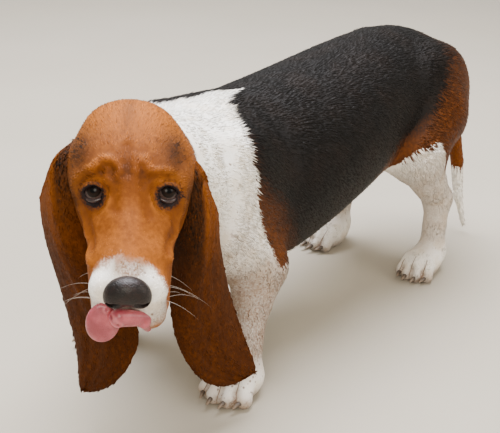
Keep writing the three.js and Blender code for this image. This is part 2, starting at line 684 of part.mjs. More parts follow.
// Moves a point straight out of the body until it has the clearance it needs.
function clearOfBody(point, need) {
  let [x, y, z] = point;
  const STEP = 0.5;
  for (let turn = 0; turn < 6; turn++) {
    const near = formsNear(DOG, x, y, z, 30);
    const d = distance(near, x, y, z);
    if (d >= need) break;
    const g = [
      distance(near, x + STEP, y, z) - distance(near, x - STEP, y, z),
      distance(near, x, y + STEP, z) - distance(near, x, y - STEP, z),
      distance(near, x, y, z + STEP) - distance(near, x, y, z - STEP),
    ];
    const length = Math.hypot(...g) || 1;
    x += (g[0] / length) * (need - d);
    y += (g[1] / length) * (need - d);
    z += (g[2] / length) * (need - d);
  }
  return [x, y, z];
}
function earNet(ear, grow = 0) {
  // Steps close up towards the tip, where the outline turns round.
  const us = [];
  for (let i = 0; i <= EAR_STEPS; i++) {
    const s = i / EAR_STEPS;
    const past = (s - EVEN_SHARE) / (1 - EVEN_SHARE);
    us.push(past < 0 ? (s / EVEN_SHARE) * TIP_FROM : lerp(TIP_FROM, 0.999, Math.sin(past * (Math.PI / 2))));
  }
  const middle = us.map((u) => {
    const row = [];
    for (let j = 0; j <= EAR_ACROSS; j++) {
      const v = 0.5 - 0.5 * Math.cos((j / EAR_ACROSS) * Math.PI);
      row.push(new THREE.Vector3(...earPoint(ear, u, v)));
    }
    return row;
  });
  const last = EAR_STEPS;
  const points = [];
  const ids = [[], []];
  const add = (p) => points.push([p.x, p.y, p.z]) - 1;
  for (let i = 0; i <= last; i++)
    for (let j = 0; j <= EAR_ACROSS; j++) {
      const du = middle[Math.min(i + 1, last)][j].clone().sub(middle[Math.max(i - 1, 0)][j]);
      const dv = middle[i][Math.min(j + 1, EAR_ACROSS)].clone().sub(middle[i][Math.max(j - 1, 0)]);
      const n = dv.clone().cross(du).normalize();
      const endOf = (k, n) => (k === 0 ? -1 : k === n ? 1 : 0);
      const [endU, endV] = [endOf(i, last), endOf(j, EAR_ACROSS)];
      const id = i * (EAR_ACROSS + 1) + j;
      if (endU || endV) {
        const out = du.setLength(endU * grow).add(dv.setLength(endV * grow));
        ids[0][id] = add(out.add(middle[i][j]));
        ids[1][id] = ids[0][id];
      } else {
        const half = EAR_THICK / 2 + grow;
        ids[0][id] = add(middle[i][j].clone().addScaledVector(n, half));
        ids[1][id] = add(middle[i][j].clone().addScaledVector(n, -half));
      }
    }
  const faces = [];
  const at = (layer, i, j) => ids[layer][i * (EAR_ACROSS + 1) + j];
  for (let i = 0; i < last; i++)
    for (let j = 0; j < EAR_ACROSS; j++)
      for (const layer of [0, 1]) {
        const q = [at(layer, i, j), at(layer, i + 1, j), at(layer, i + 1, j + 1), at(layer, i, j + 1)];
        if (layer === 0) q.reverse();
        faces.push([q[0], q[1], q[2]], [q[0], q[2], q[3]]);
      }
  return { points, faces };
}

// A claw: a tapered, bent horn that grows out of the front of a toe
const CLAW_PROFILE = [[0, 0], [3.2, 0], [3.7, 0.3], [3.1, 0.58], [1.9, 0.84], [0, 1]];
const CLAW_BEND = rad(38);
function claw(frame, [x, reach, r], grow) {
  const outline = CLAW_PROFILE.map(
    ([radius, s]) => new THREE.Vector2(radius && radius + grow, s * (CLAW_LENGTH + 2 * grow) - grow),
  );
  const geometry = new THREE.LatheGeometry(outline, 8);
  const p = geometry.attributes.position;
  for (let i = 0; i < p.count; i++) {
    const s = p.getY(i) / CLAW_LENGTH;
    const bend = CLAW_BEND * s;
    const across = p.getZ(i);
    p.setY(i, p.getY(i) * Math.cos(bend / 2) - across * Math.sin(bend));
    p.setZ(i, p.getY(i) * Math.sin(bend / 2) + across * Math.cos(bend));
  }
  // Forward and down out of the toe: the bend turns from local y towards the ground
  geometry.rotateX(Math.PI);
  geometry.rotateX(rad(-12));
  geometry.rotateZ(rad(-x * 0.5));
  geometry.translate(x, r - reach - r * 0.55, r * 1.02);
  return solidOf(geometry.applyMatrix4(frame));
}

// Materials, by what they are made of
const COLOURS = {
  tan: ["#8a4a22", 0.75],
  chestnut: ["#5a2c14", 0.75],
  black: ["#2b2624", 0.7],
  white: ["#e6ddd2", 0.8],
  eye: ["#2a1710", 0.1],
  nose: ["#2a2223", 0.4],
  tongue: ["#d47f87", 0.35],
  claw: ["#5b5048", 0.4],
};
const materials = Object.fromEntries(
  Object.entries(COLOURS).map(([name, [color, roughness]]) => [
    name,
    new THREE.MeshStandardMaterial({ name, color, roughness, metalness: 0 }),
  ]),
);

// Build
const pieces = [];
const keep = (name, material, piece) => pieces.push({ name, material, piece: largest(piece) });

const pawDetail = ([, , z]) => (z < 60 ? 3 : 1);
const bodyNet = thin(
  surfaceNet(BODY_FORMS.concat(HEAD_FORMS), [-150, -460, -10], [150, 425, 410], BODY_CELL),
  BODY_FACES,
  pawDetail,
);
const above = box([-400, -700, 0], [400, 700, 600]);
const whole = solid(bodyNet).intersect(above);
const headNet = thin(
  surfaceNet(DOG, [-40, -590, 150], [250, -220, 430], HEAD_CELL),
  HEAD_FACES,
);
const headWhole = solid(headNet);

// Where the pieces part
const HEAD_CUT = [[48, -335, 322], [0.5, -0.72, 0.48]];
const NECK_CUT = [[16, -262, 285], [0.3, -0.85, 0.43]];
const shoulder = (s, grow) =>
  globe([s * 102, -208, 188], [56 + grow, 76 + grow, 108 + grow]).add(
    box(
      [s > 0 ? 45 - grow : -300, -420, -50],
      [s > 0 ? 300 : -45 + grow, -100 + grow, 104 + grow],
    ),
  );
const haunch = (s, grow) =>
  globe([s * 94, 212, 212], [60 + grow, 100 + grow, 118 + grow])
    .add(box([s > 0 ? 30 - grow : -300, 100 - grow, -50], [s > 0 ? 300 : -30 + grow, 345, 130 + grow]))
    .add(box([s > 0 ? 45 - grow : -300, 205 - grow, -50], [s > 0 ? 300 : -45 + grow, 345, 155 + grow]));
const tailRoom = (grow) =>
  globe([12, 396, 250], [46 + grow, 58 + grow, 76 + grow]).add(
    box([-40, 352 - grow, 0], [120, 470, 250]),
  );

const NAMES = { 1: "left", "-1": "right" };
let trunkPart = whole;
const clawsOf = (s, leg, toes, grow) => toes.map((toe) => claw(pawFrame(leg), toe, grow));
function parted(piece, point, normal) {
  return [piece.intersect(beyond(point, normal)), piece.subtract(beyond(point, normal, GAP))];
}
for (const s of SIDES) {
  for (const [end, leg, toes, room, cut] of [
    ["front", FRONT[s], FRONT_TOES, shoulder, [FRONT[s].wrist, [0, -0.25, -1]]],
    ["hind", HIND[s], HIND_TOES, haunch, [[HIND[s].paw[0], HIND[s].paw[1] + 36, 52], [0, -0.3, -1]]],
  ]) {
    let limbPart = largest(whole.intersect(room(s, 0)));
    trunkPart = trunkPart.subtract(room(s, GAP));
    for (const c of clawsOf(s, leg, toes, GAP)) limbPart = limbPart.subtract(c);
    const [foot, upper] = parted(limbPart, cut[0], cut[1]);
    keep(`leg_${end}_${NAMES[s]}`, "white", upper);
    keep(`paw_${end}_${NAMES[s]}`, "white", foot);
    clawsOf(s, leg, toes, 0).forEach((c, i) =>
      keep(`claw_${end}_${NAMES[s]}_${i + 1}`, "claw", c.intersect(above)),
    );
  }
}
keep("tail", "tan", trunkPart.intersect(tailRoom(0)));
trunkPart = largest(trunkPart.subtract(tailRoom(GAP)));
const [frontPart, torso] = parted(trunkPart, ...NECK_CUT);
keep("torso", "black", torso);
keep("neck", "white", largest(frontPart).subtract(beyond(...HEAD_CUT, GAP)));

// The nose leather and the tongue, and the room that each takes out of the head
const muzzleBox = [[60, -600, 160], [260, -400, 330]];
const noseNet = thin(surfaceNet(NOSE, ...muzzleBox, FINE_CELL), SMALL_FACES);
const tongueNet = thin(surfaceNet(TONGUE, ...muzzleBox, FINE_CELL), SMALL_FACES);
const noseRoom = solid(swell(noseNet, GAP));
let head = headWhole.intersect(beyond(...HEAD_CUT));
head = head.subtract(noseRoom).subtract(solid(swell(tongueNet, GAP)));
for (const s of SIDES) {
  const at = new THREE.Vector3().setFromMatrixPosition(eyeFrame(s)).toArray();
  const eyeball = (r) => globe(at, [r, r, r], 16);
  const ear = solid(earNet(EARS[s]));
  head = head.subtract(eyeball(EYE_RADIUS + GAP)).subtract(solid(earNet(EARS[s], EAR_GAP)));
  // Where the root bends, the grown sheet is too close, so the ear's own shape is cleared too.
  for (const way of [0, GAP, -GAP]) head = head.subtract(ear.translate([way, way, way]));
  keep(`eye_${NAMES[s]}`, "eye", eyeball(EYE_RADIUS));
  keep(`ear_${NAMES[s]}`, "chestnut", ear);
}
keep("head", "tan", head);
keep("nose", "nose", solid(noseNet));
keep("tongue", "tongue", solid(tongueNet).subtract(noseRoom));

// The whole is shifted so that the middle of its footprint is the origin.
const dog = new THREE.Group();
const low = new THREE.Vector3(Infinity, Infinity, Infinity);
const high = low.clone().negate();
for (const { name, material, piece } of pieces) {
  const { min, max } = piece.boundingBox();
  low.min(new THREE.Vector3(...min));
  high.max(new THREE.Vector3(...max));
  const mesh = new THREE.Mesh(geometryOf(piece), materials[material]);
  mesh.name = name;
  dog.add(mesh);
}
dog.position.set(-(low.x + high.x) / 2, -(low.y + high.y) / 2, -low.z);

export default dog;
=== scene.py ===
# %% [markdown]
# # A basset hound, made as a life-size model
#
# The hound stands with its head low and turned to its left. The solid model gives its size, its
# pose and where each part is. This lesson dresses it: one skin over the whole body, a short coat
# of fine tufts, wet eyes, a pebbled nose, a tongue, horn claws and whiskers.

# %% Load the frame
import math

import bpy
import numpy as np
from mathutils import Matrix, Vector


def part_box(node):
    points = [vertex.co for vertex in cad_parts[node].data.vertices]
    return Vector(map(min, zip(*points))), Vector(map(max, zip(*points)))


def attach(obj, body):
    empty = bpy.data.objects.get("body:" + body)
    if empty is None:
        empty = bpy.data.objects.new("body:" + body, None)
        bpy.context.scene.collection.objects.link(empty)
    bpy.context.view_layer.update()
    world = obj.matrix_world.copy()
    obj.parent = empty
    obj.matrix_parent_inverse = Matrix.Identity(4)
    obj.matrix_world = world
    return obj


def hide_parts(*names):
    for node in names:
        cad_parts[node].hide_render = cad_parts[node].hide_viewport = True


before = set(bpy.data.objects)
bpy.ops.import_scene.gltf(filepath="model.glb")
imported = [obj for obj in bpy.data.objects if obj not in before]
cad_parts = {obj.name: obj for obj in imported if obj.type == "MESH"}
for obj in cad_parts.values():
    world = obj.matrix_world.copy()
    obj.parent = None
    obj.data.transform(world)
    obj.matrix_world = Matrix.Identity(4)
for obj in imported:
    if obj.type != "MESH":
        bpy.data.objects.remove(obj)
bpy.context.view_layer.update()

# %% [markdown]
# ## The body as a sum of rounded forms
#
# A dog's body has no edges, so it is described the way a sculptor blocks it in: balls and
# tapered rolls that melt into each other. Each form knows its distance from any point, and a
# smooth minimum joins them. The same named sizes are used for the solid model, so both fit.
# Lengths here are millimetres, and the mesh is turned into metres at the end.

# %% Frames of the body and the head
HEAD_AT = (103, -421, 320)  # midway between the eyes
HEAD_YAW = 43.7  # degrees to the dog's left
HEAD_PITCH = 31  # degrees, nose down
SIDES = (1, -1)
WORD = {1: "left", -1: "right"}
FAR = 60.0  # no distance is followed further than this

BODY = Matrix.Identity(4)
HEAD = (Matrix.Translation(HEAD_AT) @ Matrix.Rotation(math.radians(HEAD_YAW), 4, "Z")
        @ Matrix.Rotation(math.radians(HEAD_PITCH), 4, "X"))


def to_array(matrix):
    return np.array(matrix, dtype=np.float64)


def both(make):
    return [form for side in SIDES for form in make(side)]


# %% The two kinds of form: ball and limb
def form(place, local, centre, reach, blend, carve):
    at = place @ Vector(centre)
    return dict(inverse=to_array(place.inverted()), local=local, at=np.array(at), reach=reach,
                blend=blend, carve=carve)


def ball(place, centre, radii, blend, turn=(0, 0, 0), carve=False):
    """An ellipsoid: radii along its own axes, turned about x, then y, then z."""
    rx, ry, rz = radii
    turned = Matrix.Identity(4)
    for axis, degrees in zip("XYZ", turn):
        turned = turned @ Matrix.Rotation(math.radians(degrees), 4, axis)

    def local(p):
        q = p / (rx, ry, rz)
        k0 = np.sqrt((q * q).sum(1))
        k1 = np.sqrt(((q / (rx, ry, rz)) ** 2).sum(1))
        return np.where(k1 < 1e-9, -min(radii), k0 * (k0 - 1) / np.maximum(k1, 1e-9))

    return form(place @ Matrix.Translation(centre) @ turned, local, (0, 0, 0), max(radii), blend, carve)


def limb(place, a, b, ra, rb, blend, carve=False, flat=1.0):
    """A tapered roll from a to b; flat scales it across its local y."""
    a, b = Vector(a), Vector(b)
    length = (b - a).length
    along = (b - a).normalized()
    level = Vector((-along.y, along.x, 0))
    if level.length < 1e-3:
        level = Vector((1, 0, 0))
    level.normalize()
    side = along.cross(level)
    basis = Matrix((level, side, along)).transposed().to_4x4()

    def local(p):
        t = np.clip(p[:, 2] / length, 0, 1)
        past = p[:, 2] - t * length
        return np.sqrt(p[:, 0] ** 2 + (p[:, 1] / flat) ** 2 + past ** 2) - (ra + (rb - ra) * t)

    return form(place @ Matrix.Translation(a) @ basis, local, (0, 0, length / 2),
                length / 2 + max(ra, rb) * max(1, flat), blend, carve)


def profile(stations, values):
    """A value that varies smoothly through a list of stations."""
    s, v = np.array(stations, float), np.array(values, float)
    n = len(s)
    ahead, behind = np.minimum(np.arange(n) + 1, n - 1), np.maximum(np.arange(n) - 1, 0)
    slope = (v[ahead] - v[behind]) / (s[ahead] - s[behind])

    def at(x):
        x = np.clip(x, s[0], s[-1])
        i = np.clip(np.searchsorted(s, x) - 1, 0, n - 2)
        h = s[i + 1] - s[i]
        t = (x - s[i]) / h
        return ((2 * t ** 3 - 3 * t ** 2 + 1) * v[i] + (t ** 3 - 2 * t ** 2 + t) * h * slope[i]
                + (3 * t ** 2 - 2 * t ** 3) * v[i + 1] + (t ** 3 - t ** 2) * h * slope[i + 1])

    return at


def join_smooth(a, b, k):
    near = np.maximum(k - np.abs(a - b), 0)
    return np.minimum(a, b) - near * near / (4 * k) if k > 0 else np.minimum(a, b)


def distance(forms, points):
    """How far each point lies outside the sculpture (negative inside)."""
    d = np.full(len(points), FAR)
    for f in forms:
        close = np.flatnonzero(((points - f["at"]) ** 2).sum(1) < (f["reach"] + f["blend"] + 12) ** 2)
        if len(close) == 0:
            continue
        m = f["inverse"]
        own = f["local"](points[close] @ m[:3, :3].T + m[:3, 3])
        if f["carve"]:
            d[close] = -join_smooth(-d[close], own, f["blend"])
        else:
            d[close] = join_smooth(d[close], own, f["blend"])
    return d

# %% [markdown]
# ## Trunk, neck, tail and legs
#
# A basset is long and low, with a deep chest between short, crooked forelegs and a tucked belly.
# The trunk is a loft whose top and bottom follow the outline of a real hound seen from the side.

# %% The trunk
TRUNK_Y = (-300, -262, -200, -130, -50, 30, 110, 180, 245, 305, 348)
TRUNK_TOP = (246, 316, 346, 357, 362, 369, 379, 384, 378, 352, 305)
TRUNK_BOTTOM = (185, 135, 108, 106, 124, 148, 168, 182, 195, 215, 250)
TRUNK_HALF = (34, 74, 98, 112, 118, 117, 107, 98, 94, 78, 42)


def trunk(blend):
    top, bottom, half = (profile(TRUNK_Y, v) for v in (TRUNK_TOP, TRUNK_BOTTOM, TRUNK_HALF))

    def local(p):
        s = np.clip(p[:, 1], TRUNK_Y[0], TRUNK_Y[-1])
        hi, lo = top(s), bottom(s)
        h = (hi - lo) / 2
        dz = p[:, 2] - (hi + lo) / 2
        q = np.hypot(p[:, 0] / half(s), dz / h)
        section = np.where(q < 1e-6, -h, np.hypot(p[:, 0], dz) * (1 - 1 / np.maximum(q, 1e-6)))
        past = p[:, 1] - s
        beyond = np.hypot(np.maximum(section, 0), past) + np.minimum(section, 0)
        return np.where(past == 0, section, beyond)

    return form(BODY, local, (0, 24, 230), 410, blend, False)


# %% The legs, each on its own paw
FRONT = {1: dict(elbow=(96, -190, 152), wrist=(97, -230, 66), paw=(108, -252, 0), heading=12),
         -1: dict(elbow=(-96, -186, 152), wrist=(-99, -238, 66), paw=(-109, -266, 0), heading=-12)}
HIND = {1: dict(knee=(93, 166, 214), hock=(87, 253, 114), paw=(91, 212, 0), heading=8),
        -1: dict(knee=(-90, 160, 214), hock=(-83, 243, 114), paw=(-86, 198, 0), heading=-8)}
# Across, reach forward and radius of each toe
FRONT_TOES = ((-27, 33, 12.5), (-9.5, 43, 13.5), (9.5, 43, 13.5), (27, 33, 12.5))
HIND_TOES = ((-22, 30, 10.5), (-8, 39, 11.5), (8, 39, 11.5), (22, 30, 10.5))


def paw_frame(leg):
    return Matrix.Translation(leg["paw"]) @ Matrix.Rotation(math.radians(leg["heading"]), 4, "Z")


def paw(place, toes, width, height):
    pad = ball(place, (0, 6, height * 0.55), (width, 38, height * 0.72), 12)
    return [pad] + [limb(place, (x * 0.72, -6, height * 0.78), (x, r - reach, r * 0.9), r * 1.02, r, 4)
                    for x, reach, r in toes]


def front_leg(side):
    leg = FRONT[side]
    elbow, wrist, foot = leg["elbow"], leg["wrist"], leg["paw"]
    return [
        ball(BODY, (side * 72, -226, 258), (36, 60, 84), 40, turn=(-24, side * 8, 0)),
        limb(BODY, (side * 74, -258, 214), (elbow[0] * 0.97, elbow[1], elbow[2] + 8), 48, 34, 34),
        limb(BODY, elbow, wrist, 31, 27, 20),
        ball(BODY, (elbow[0], elbow[1] + 14, elbow[2] + 2), (17, 15, 20), 14),
        limb(BODY, wrist, (foot[0], foot[1] + 12, 30), 30, 30, 14),
        *paw(paw_frame(leg), FRONT_TOES, 36, 40)]


def hind_leg(side):
    leg = HIND[side]
    knee, hock, foot = leg["knee"], leg["hock"], leg["paw"]
    return [
        ball(BODY, (side * 60, 252, 268), (44, 80, 94), 30, turn=(18, side * 6, 0)),
        limb(BODY, (side * 70, 232, 252), knee, 56, 40, 30),
        limb(BODY, knee, (hock[0], hock[1] - 8, hock[2] + 12), 40, 24, 24),
        ball(BODY, (hock[0], hock[1] + 8, hock[2] + 4), (16, 16, 20), 14),
        limb(BODY, hock, (foot[0], foot[1] + 32, 34), 21, 20, 16),
        limb(BODY, (foot[0], foot[1] + 34, 30), (foot[0], foot[1] + 6, 24), 22, 23, 14),
        *paw(paw_frame(leg), HIND_TOES, 29, 34)]


# %% Neck and tail
NECK = [limb(BODY, (0, -195, 262), (34, -300, 288), 90, 70, 40),
        limb(BODY, (34, -300, 288), (64, -358, 324), 70, 56, 40),
        ball(BODY, (40, -318, 240), (38, 62, 46), 36, turn=(-25, 0, 35))]
TAIL_LINE = ((0, 330, 316), (6, 368, 272), (20, 390, 205), (34, 398, 130), (44, 396, 72), (55, 403, 24))
TAIL_RADII = (27, 19, 15, 12, 9, 5)
TAIL = [limb(BODY, TAIL_LINE[i], TAIL_LINE[i + 1], TAIL_RADII[i], TAIL_RADII[i + 1], 22 if i == 0 else 3)
        for i in range(5)]
BODY_FORMS = [trunk(0), *both(front_leg), *both(hind_leg), *NECK, *TAIL]
print(len(BODY_FORMS), "forms make the body")

# %% [markdown]
# ## The head
#
# A domed skull, a long deep muzzle and loose, hanging lips. In the head's own frame x points to
# its left, -y to the nose and z out of the crown. Real flesh hangs straight down, so the lips
# are rolls that drop along the plumb line, not along the head.

# %% Skull, lips and jaw
DROP = (0, -math.sin(math.radians(HEAD_PITCH)), -math.cos(math.radians(HEAD_PITCH)))


def hang(p, length):
    return tuple(v + d * length for v, d in zip(p, DROP))


SKULL = [
    ball(HEAD, (-3, 48, 0), (68, 62, 45), 20),
    ball(HEAD, (-5, 90, 14), (40, 26, 24), 30),
    limb(HEAD, (0, 20, -6), (0, -96, -15), 34, 26, 22, flat=0.94),
    *both(lambda s: [
        ball(HEAD, (s * 27, 24, 20), (21, 15, 12), 12, turn=(0, 0, s * -18)),
        ball(HEAD, (s * 52, 20, 6), (12, 14, 12), 12),
        ball(HEAD, (s * 47, 34, -15), (18, 40, 25), 18),
        ball(HEAD, (s * 35, 12, -38), (23, 44, 30), 22),
        limb(HEAD, (s * 24, -30, -24), hang((s * 25, -36, -24), 34), 24, 20, 16),
        limb(HEAD, (s * 22, -66, -23), hang((s * 24, -70, -23), 42), 24, 19, 16),
        limb(HEAD, (s * 17, -94, -24), hang((s * 22, -97, -26), 28), 21, 18, 12),
        ball(HEAD, (s * 26, -99, -21), (16, 17, 19), 7, turn=(0, 0, s * 12))])]
JAW = [limb(HEAD, (0, 30, -58), (0, -82, -68), 34, 16, 9),
       ball(HEAD, (0, -96, -72), (16, 17, 12), 8),
       ball(HEAD, (0, -104, -56), (16, 22, 6), 5, carve=True)]

# %% The lids, in a frame on each eye: x outward, y up along the lid, z along the gaze
EYE_RADIUS = 12
EYE_AT = (37, 7, 2)
EYE_GAZE = (0.33, -0.7, 0.64)


def eye_frame(side):
    gaze = Vector(EYE_GAZE).normalized()
    out = Vector((0.9, 0.3, -0.35))
    out = (out - gaze * out.dot(gaze)).normalized()
    up = gaze.cross(out).normalized()
    basis = Matrix((out, up, gaze)).transposed().to_4x4()
    return HEAD @ Matrix.Diagonal((side, 1, 1, 1)) @ Matrix.Translation(EYE_AT) @ basis


UPPER_LID = ((-14, 0, 6), (-8, 10, 8.5), (1, 13, 9), (10, 8, 8), (15, -2, 4))
LOWER_LID = ((-14, -1, 6), (-9, -12, 9), (0, -16, 9), (9, -12, 8), (15, -3, 4))


def roll(place, line, radius, blend):
    return [limb(place, a, b, radius, radius, blend) for a, b in zip(line, line[1:])]


def lids(side):
    place = eye_frame(side)
    return [ball(place, (0, 0, 15), (19, 18, 7), 8, carve=True),
            ball(place, (0, 0, 0), (14, 14, 14), 6),
            *roll(place, UPPER_LID, 2.8, 4),
            *roll(place, LOWER_LID, 2.4, 3),
            ball(place, (0, 1, 13), (11.5, 10, 8.5), 2, carve=True),
            ball(place, (0, -7, 13), (9, 8, 6.5), 3, carve=True)]


HEAD_FORMS = [*SKULL, *JAW, *both(lids)]
DOG = BODY_FORMS + HEAD_FORMS
print(len(DOG), "forms make the dog")

# %% [markdown]
# ## Nose, tongue and ears
#
# The nose leather is a rounded block with two wings and comma-shaped nostrils. The tongue comes
# out between lip and chin, folds over the lip and hangs to the dog's right. Each ear is a long
# sheet of leather, carried by three curves: its rear edge, its ridge and its front edge.

# %% The nose leather and the tongue
NOSE = [
    ball(HEAD, (0, -115, -2), (22, 15, 16), 2),
    *both(lambda s: [
        ball(HEAD, (s * 14, -119, -9), (10, 10, 11), 8),
        limb(HEAD, (s * 10, -130, -7), (s * 18, -125, -9), 3.6, 3, 2, carve=True),
        limb(HEAD, (s * 18, -125, -9), (s * 22, -116, -15), 3, 1.6, 2, carve=True)]),
    limb(HEAD, (0, -134, -5), (0, -129, -21), 1.6, 1.6, 2, carve=True)]
TONGUE = [
    limb(HEAD, (3, -84, -58), (4, -116, -50), 9, 10, 4),
    limb(HEAD, (17, -122, -44), (-9, -130, -29), 7, 9, 5, flat=1.2),
    limb(HEAD, (16, -126, -45), (19, -122, -62), 6.5, 4.6, 3),
    ball(HEAD, (-26, -126, -45), (18, 7, 24), 1.5, turn=(-25, 0, 15))]

# %% The ears' three curves, root to tip
EARS = {
    1: dict(rear=((97, -327, 346), (116, -320, 311), (122, -305, 276), (124, -300, 229),
                  (133, -290, 164), (147, -278, 111), (160, -263, 68)),
            ridge=((106, -341, 354), (135, -350, 327), (145, -352, 286), (146, -354, 236),
                   (143, -352, 171), (146, -338, 105), (153, -312, 55)),
            front=((120, -358, 351), (128, -368, 325), (126, -374, 285), (106, -368, 230),
                   (119, -377, 173), (130, -377, 124), (140, -352, 49))),
    -1: dict(rear=((2, -402, 343), (-13, -430, 317), (-32, -434, 285), (-27, -434, 237),
                   (0, -433, 166), (16, -431, 109), (17, -431, 53)),
             ridge=((12, -413, 362), (16, -448, 346), (29, -462, 304), (35, -458, 249),
                    (54, -440, 171), (60, -432, 113), (54, -428, 58)),
             front=((26, -420, 356), (42, -440, 335), (50, -443, 294), (51, -423, 244),
                    (97, -410, 160), (100, -409, 115), (92, -405, 63)))}
EAR_THICK = 5
EAR_ROOT = 0.14  # share of the length that lies against the skull, at the rear edge
EAR_ROOT_FRONT = 0.72  # and at the front edge, which grows down the temple
EAR_CLEAR = 2.5  # from the face, cheek and neck
EAR_TIP_AT = 0.1  # where across the ear its tip lies
TIP_FROM = 0.62  # where the lobe begins to round off
BLUNT = 2.6  # how square the lobe ends


def smooth(x, low=0.0, high=1.0):
    t = np.clip((x - low) / (high - low), 0, 1)
    return t * t * (3 - 2 * t)


def clear_of_dog(points, need):
    """Moves points straight out of the body until they have the clearance they need."""
    for _ in range(6):
        d = distance(DOG, points)
        short = np.flatnonzero(d < need)
        if len(short) == 0:
            break
        step = (need[short] - d[short])[:, None]
        points[short] += gradient(DOG, points[short]) * step
    return points


def ear_points(side, u, v):
    """Middle of the ear's leather at u along it and v across it."""
    stations = np.arange(7) / 6
    rear, ridge, front = (
        np.stack([profile(stations, [p[i] for p in EARS[side][line]])(u) for i in range(3)], -1)
        for line in ("rear", "ridge", "front"))
    t = np.clip((u - TIP_FROM) / (1 - TIP_FROM), 0, 1)
    w = EAR_TIP_AT + (v - EAR_TIP_AT) * (1 - t ** BLUNT) ** (1 / BLUNT)
    w = w[..., None]
    points = rear * 2 * (w - 0.5) * (w - 1) + ridge * 4 * w * (1 - w) + front * 2 * w * (w - 0.5)
    root = EAR_ROOT + (EAR_ROOT_FRONT - EAR_ROOT) * smooth(v, 0.45, 1)
    need = -9 + (EAR_THICK / 2 + EAR_CLEAR + 9) * smooth(u / root)
    return clear_of_dog(points.reshape(-1, 3), need.reshape(-1)).reshape(points.shape)

# %% [markdown]
# ## From forms to a skin
#
# A surface net lays one vertex in each cell of a grid that the surface passes through, and joins
# the cells round every grid edge that crosses it. The grid is finer round the head and paws,
# where the shapes are small, and far blocks of it are skipped. Each vertex is then drawn
# straight onto the surface, so that the skin is smooth. One skin covers head, trunk and legs, so
# no seam shows where the solid model has its cuts. It lies inside them by the coat's depth.

# %% The surface net
BLOCK = 8


def grid_line(start, *stretches):
    """Grid positions: from the start, even steps of about the given size up to each next stop."""
    line = [float(start)]
    for step, stop in stretches:
        count = max(1, round((stop - line[-1]) / step))
        line.extend(np.linspace(line[-1], stop, count + 1)[1:])
    return np.array(line)


def field_on_grid(forms, lines, inset):
    value = np.full([len(line) for line in lines], FAR)
    reach = np.array([f["reach"] + f["blend"] for f in forms])
    centres = np.array([f["at"] for f in forms])
    spans = [[slice(i, min(i + BLOCK, len(line))) for i in range(0, len(line), BLOCK)] for line in lines]
    for a in spans[0]:
        for b in spans[1]:
            for c in spans[2]:
                grid = np.stack(np.meshgrid(lines[0][a], lines[1][b], lines[2][c], indexing="ij"), -1)
                middle = (grid[0, 0, 0] + grid[-1, -1, -1]) / 2
                half = np.linalg.norm(grid[-1, -1, -1] - middle)
                near = np.flatnonzero(np.linalg.norm(centres - middle, axis=1) < reach + half + 8)
                close = [forms[n] for n in near]
                d = distance(close, middle[None])[0] + inset
                if abs(d) > half * 2.2 + 2:
                    value[a, b, c] = d
                else:
                    value[a, b, c] = (distance(close, grid.reshape(-1, 3)) + inset).reshape(grid.shape[:3])
    value[value == 0] = 1e-6
    return value


def surface_net(forms, lines, inset=0.0):
    value = field_on_grid(forms, lines, inset)
    inside = value < 0
    cells = tuple(n - 1 for n in value.shape)
    total, count, mixed = np.zeros(cells + (3,)), np.zeros(cells), np.zeros(cells, bool)
    # Each cell's vertex is the mean of the points where its twelve edges cross the surface.
    for axis in range(3):
        for u in (0, 1):
            for v in (0, 1):
                low = [u, v]
                low.insert(axis, 0)
                high = list(low)
                high[axis] = 1
                a, b = (value[tuple(slice(o, o + n) for o, n in zip(c, cells))] for c in (low, high))
                at = np.nonzero((a < 0) != (b < 0))
                place = np.stack([lines[c][at[c] + low[c]] for c in range(3)], -1)
                place[:, axis] += a[at] / (a[at] - b[at]) * (
                    lines[axis][at[axis] + 1] - lines[axis][at[axis]])
                total[at] += place
                count[at] += 1
                mixed[at] = True
    ids = np.full(cells, -1)
    ids[mixed] = np.arange(mixed.sum())
    quads = []
    for axis in range(3):
        u, v = ((1, 2), (2, 0), (0, 1))[axis]
        a, b = (inside[tuple(part if c == axis else slice(1, -1) for c in range(3))]
                for part in (slice(0, -1), slice(1, None)))
        at = np.stack(np.nonzero(a != b), -1)
        outward = a[tuple(at.T)]
        at[:, [u, v]] += 1
        ring = []
        for du, dv in ((0, 0), (-1, 0), (-1, -1), (0, -1)):
            cell = at.copy()
            cell[:, u] += du
            cell[:, v] += dv
            ring.append(ids[tuple(cell.T)])
        ring = np.stack(ring, 1)
        ring[~outward] = ring[~outward, ::-1]
        quads.append(ring)
    return total[mixed] / count[mixed][:, None], np.concatenate(quads)


# %% Drawing the net onto the surface, and keeping its largest part
def gradient(forms, points, step=0.4):
    slope = np.stack([distance(forms, points + step * e) - distance(forms, points - step * e)
                      for e in np.eye(3)], 1)
    return slope / np.maximum(np.linalg.norm(slope, axis=1, keepdims=True), 1e-9)


def drawn_on(forms, points, inset):
    off = np.clip(distance(forms, points) + inset, -1.5, 1.5)
    return points - gradient(forms, points) * off[:, None]


def largest_part(points, quads):
    label = np.arange(len(points))
    while True:
        low = label.copy()
        np.minimum.at(low, quads, label[quads].min(1)[:, None])
        low = low[low]
        if (low == label).all():
            break
        label = low
    keep = label == np.bincount(label).argmax()
    renumber = np.cumsum(keep) - 1
    return points[keep], renumber[quads[keep[quads[:, 0]]]]


SKIN_INSET = 1.6  # the coat's depth
LINES = (grid_line(-160, (5.4, -26), (2.5, 192), (4, 204)),
         grid_line(-534, (2.5, -345), (5.4, 430)),
         grid_line(-8, (3, 42), (5.4, 205), (2.5, 410)))
points, quads = surface_net(DOG, LINES, SKIN_INSET)
points, quads = largest_part(points, quads)
points = drawn_on(DOG, points, SKIN_INSET)

# %% Easing the creases where the tail grows out of the croup
TAIL_ROOT = np.array(BODY @ Vector((3, 345, 300)))
EASED_WITHIN = (45, 85)  # in full, and to nothing
EASED_SHARE = 0.6
EASED_ROUNDS = 12


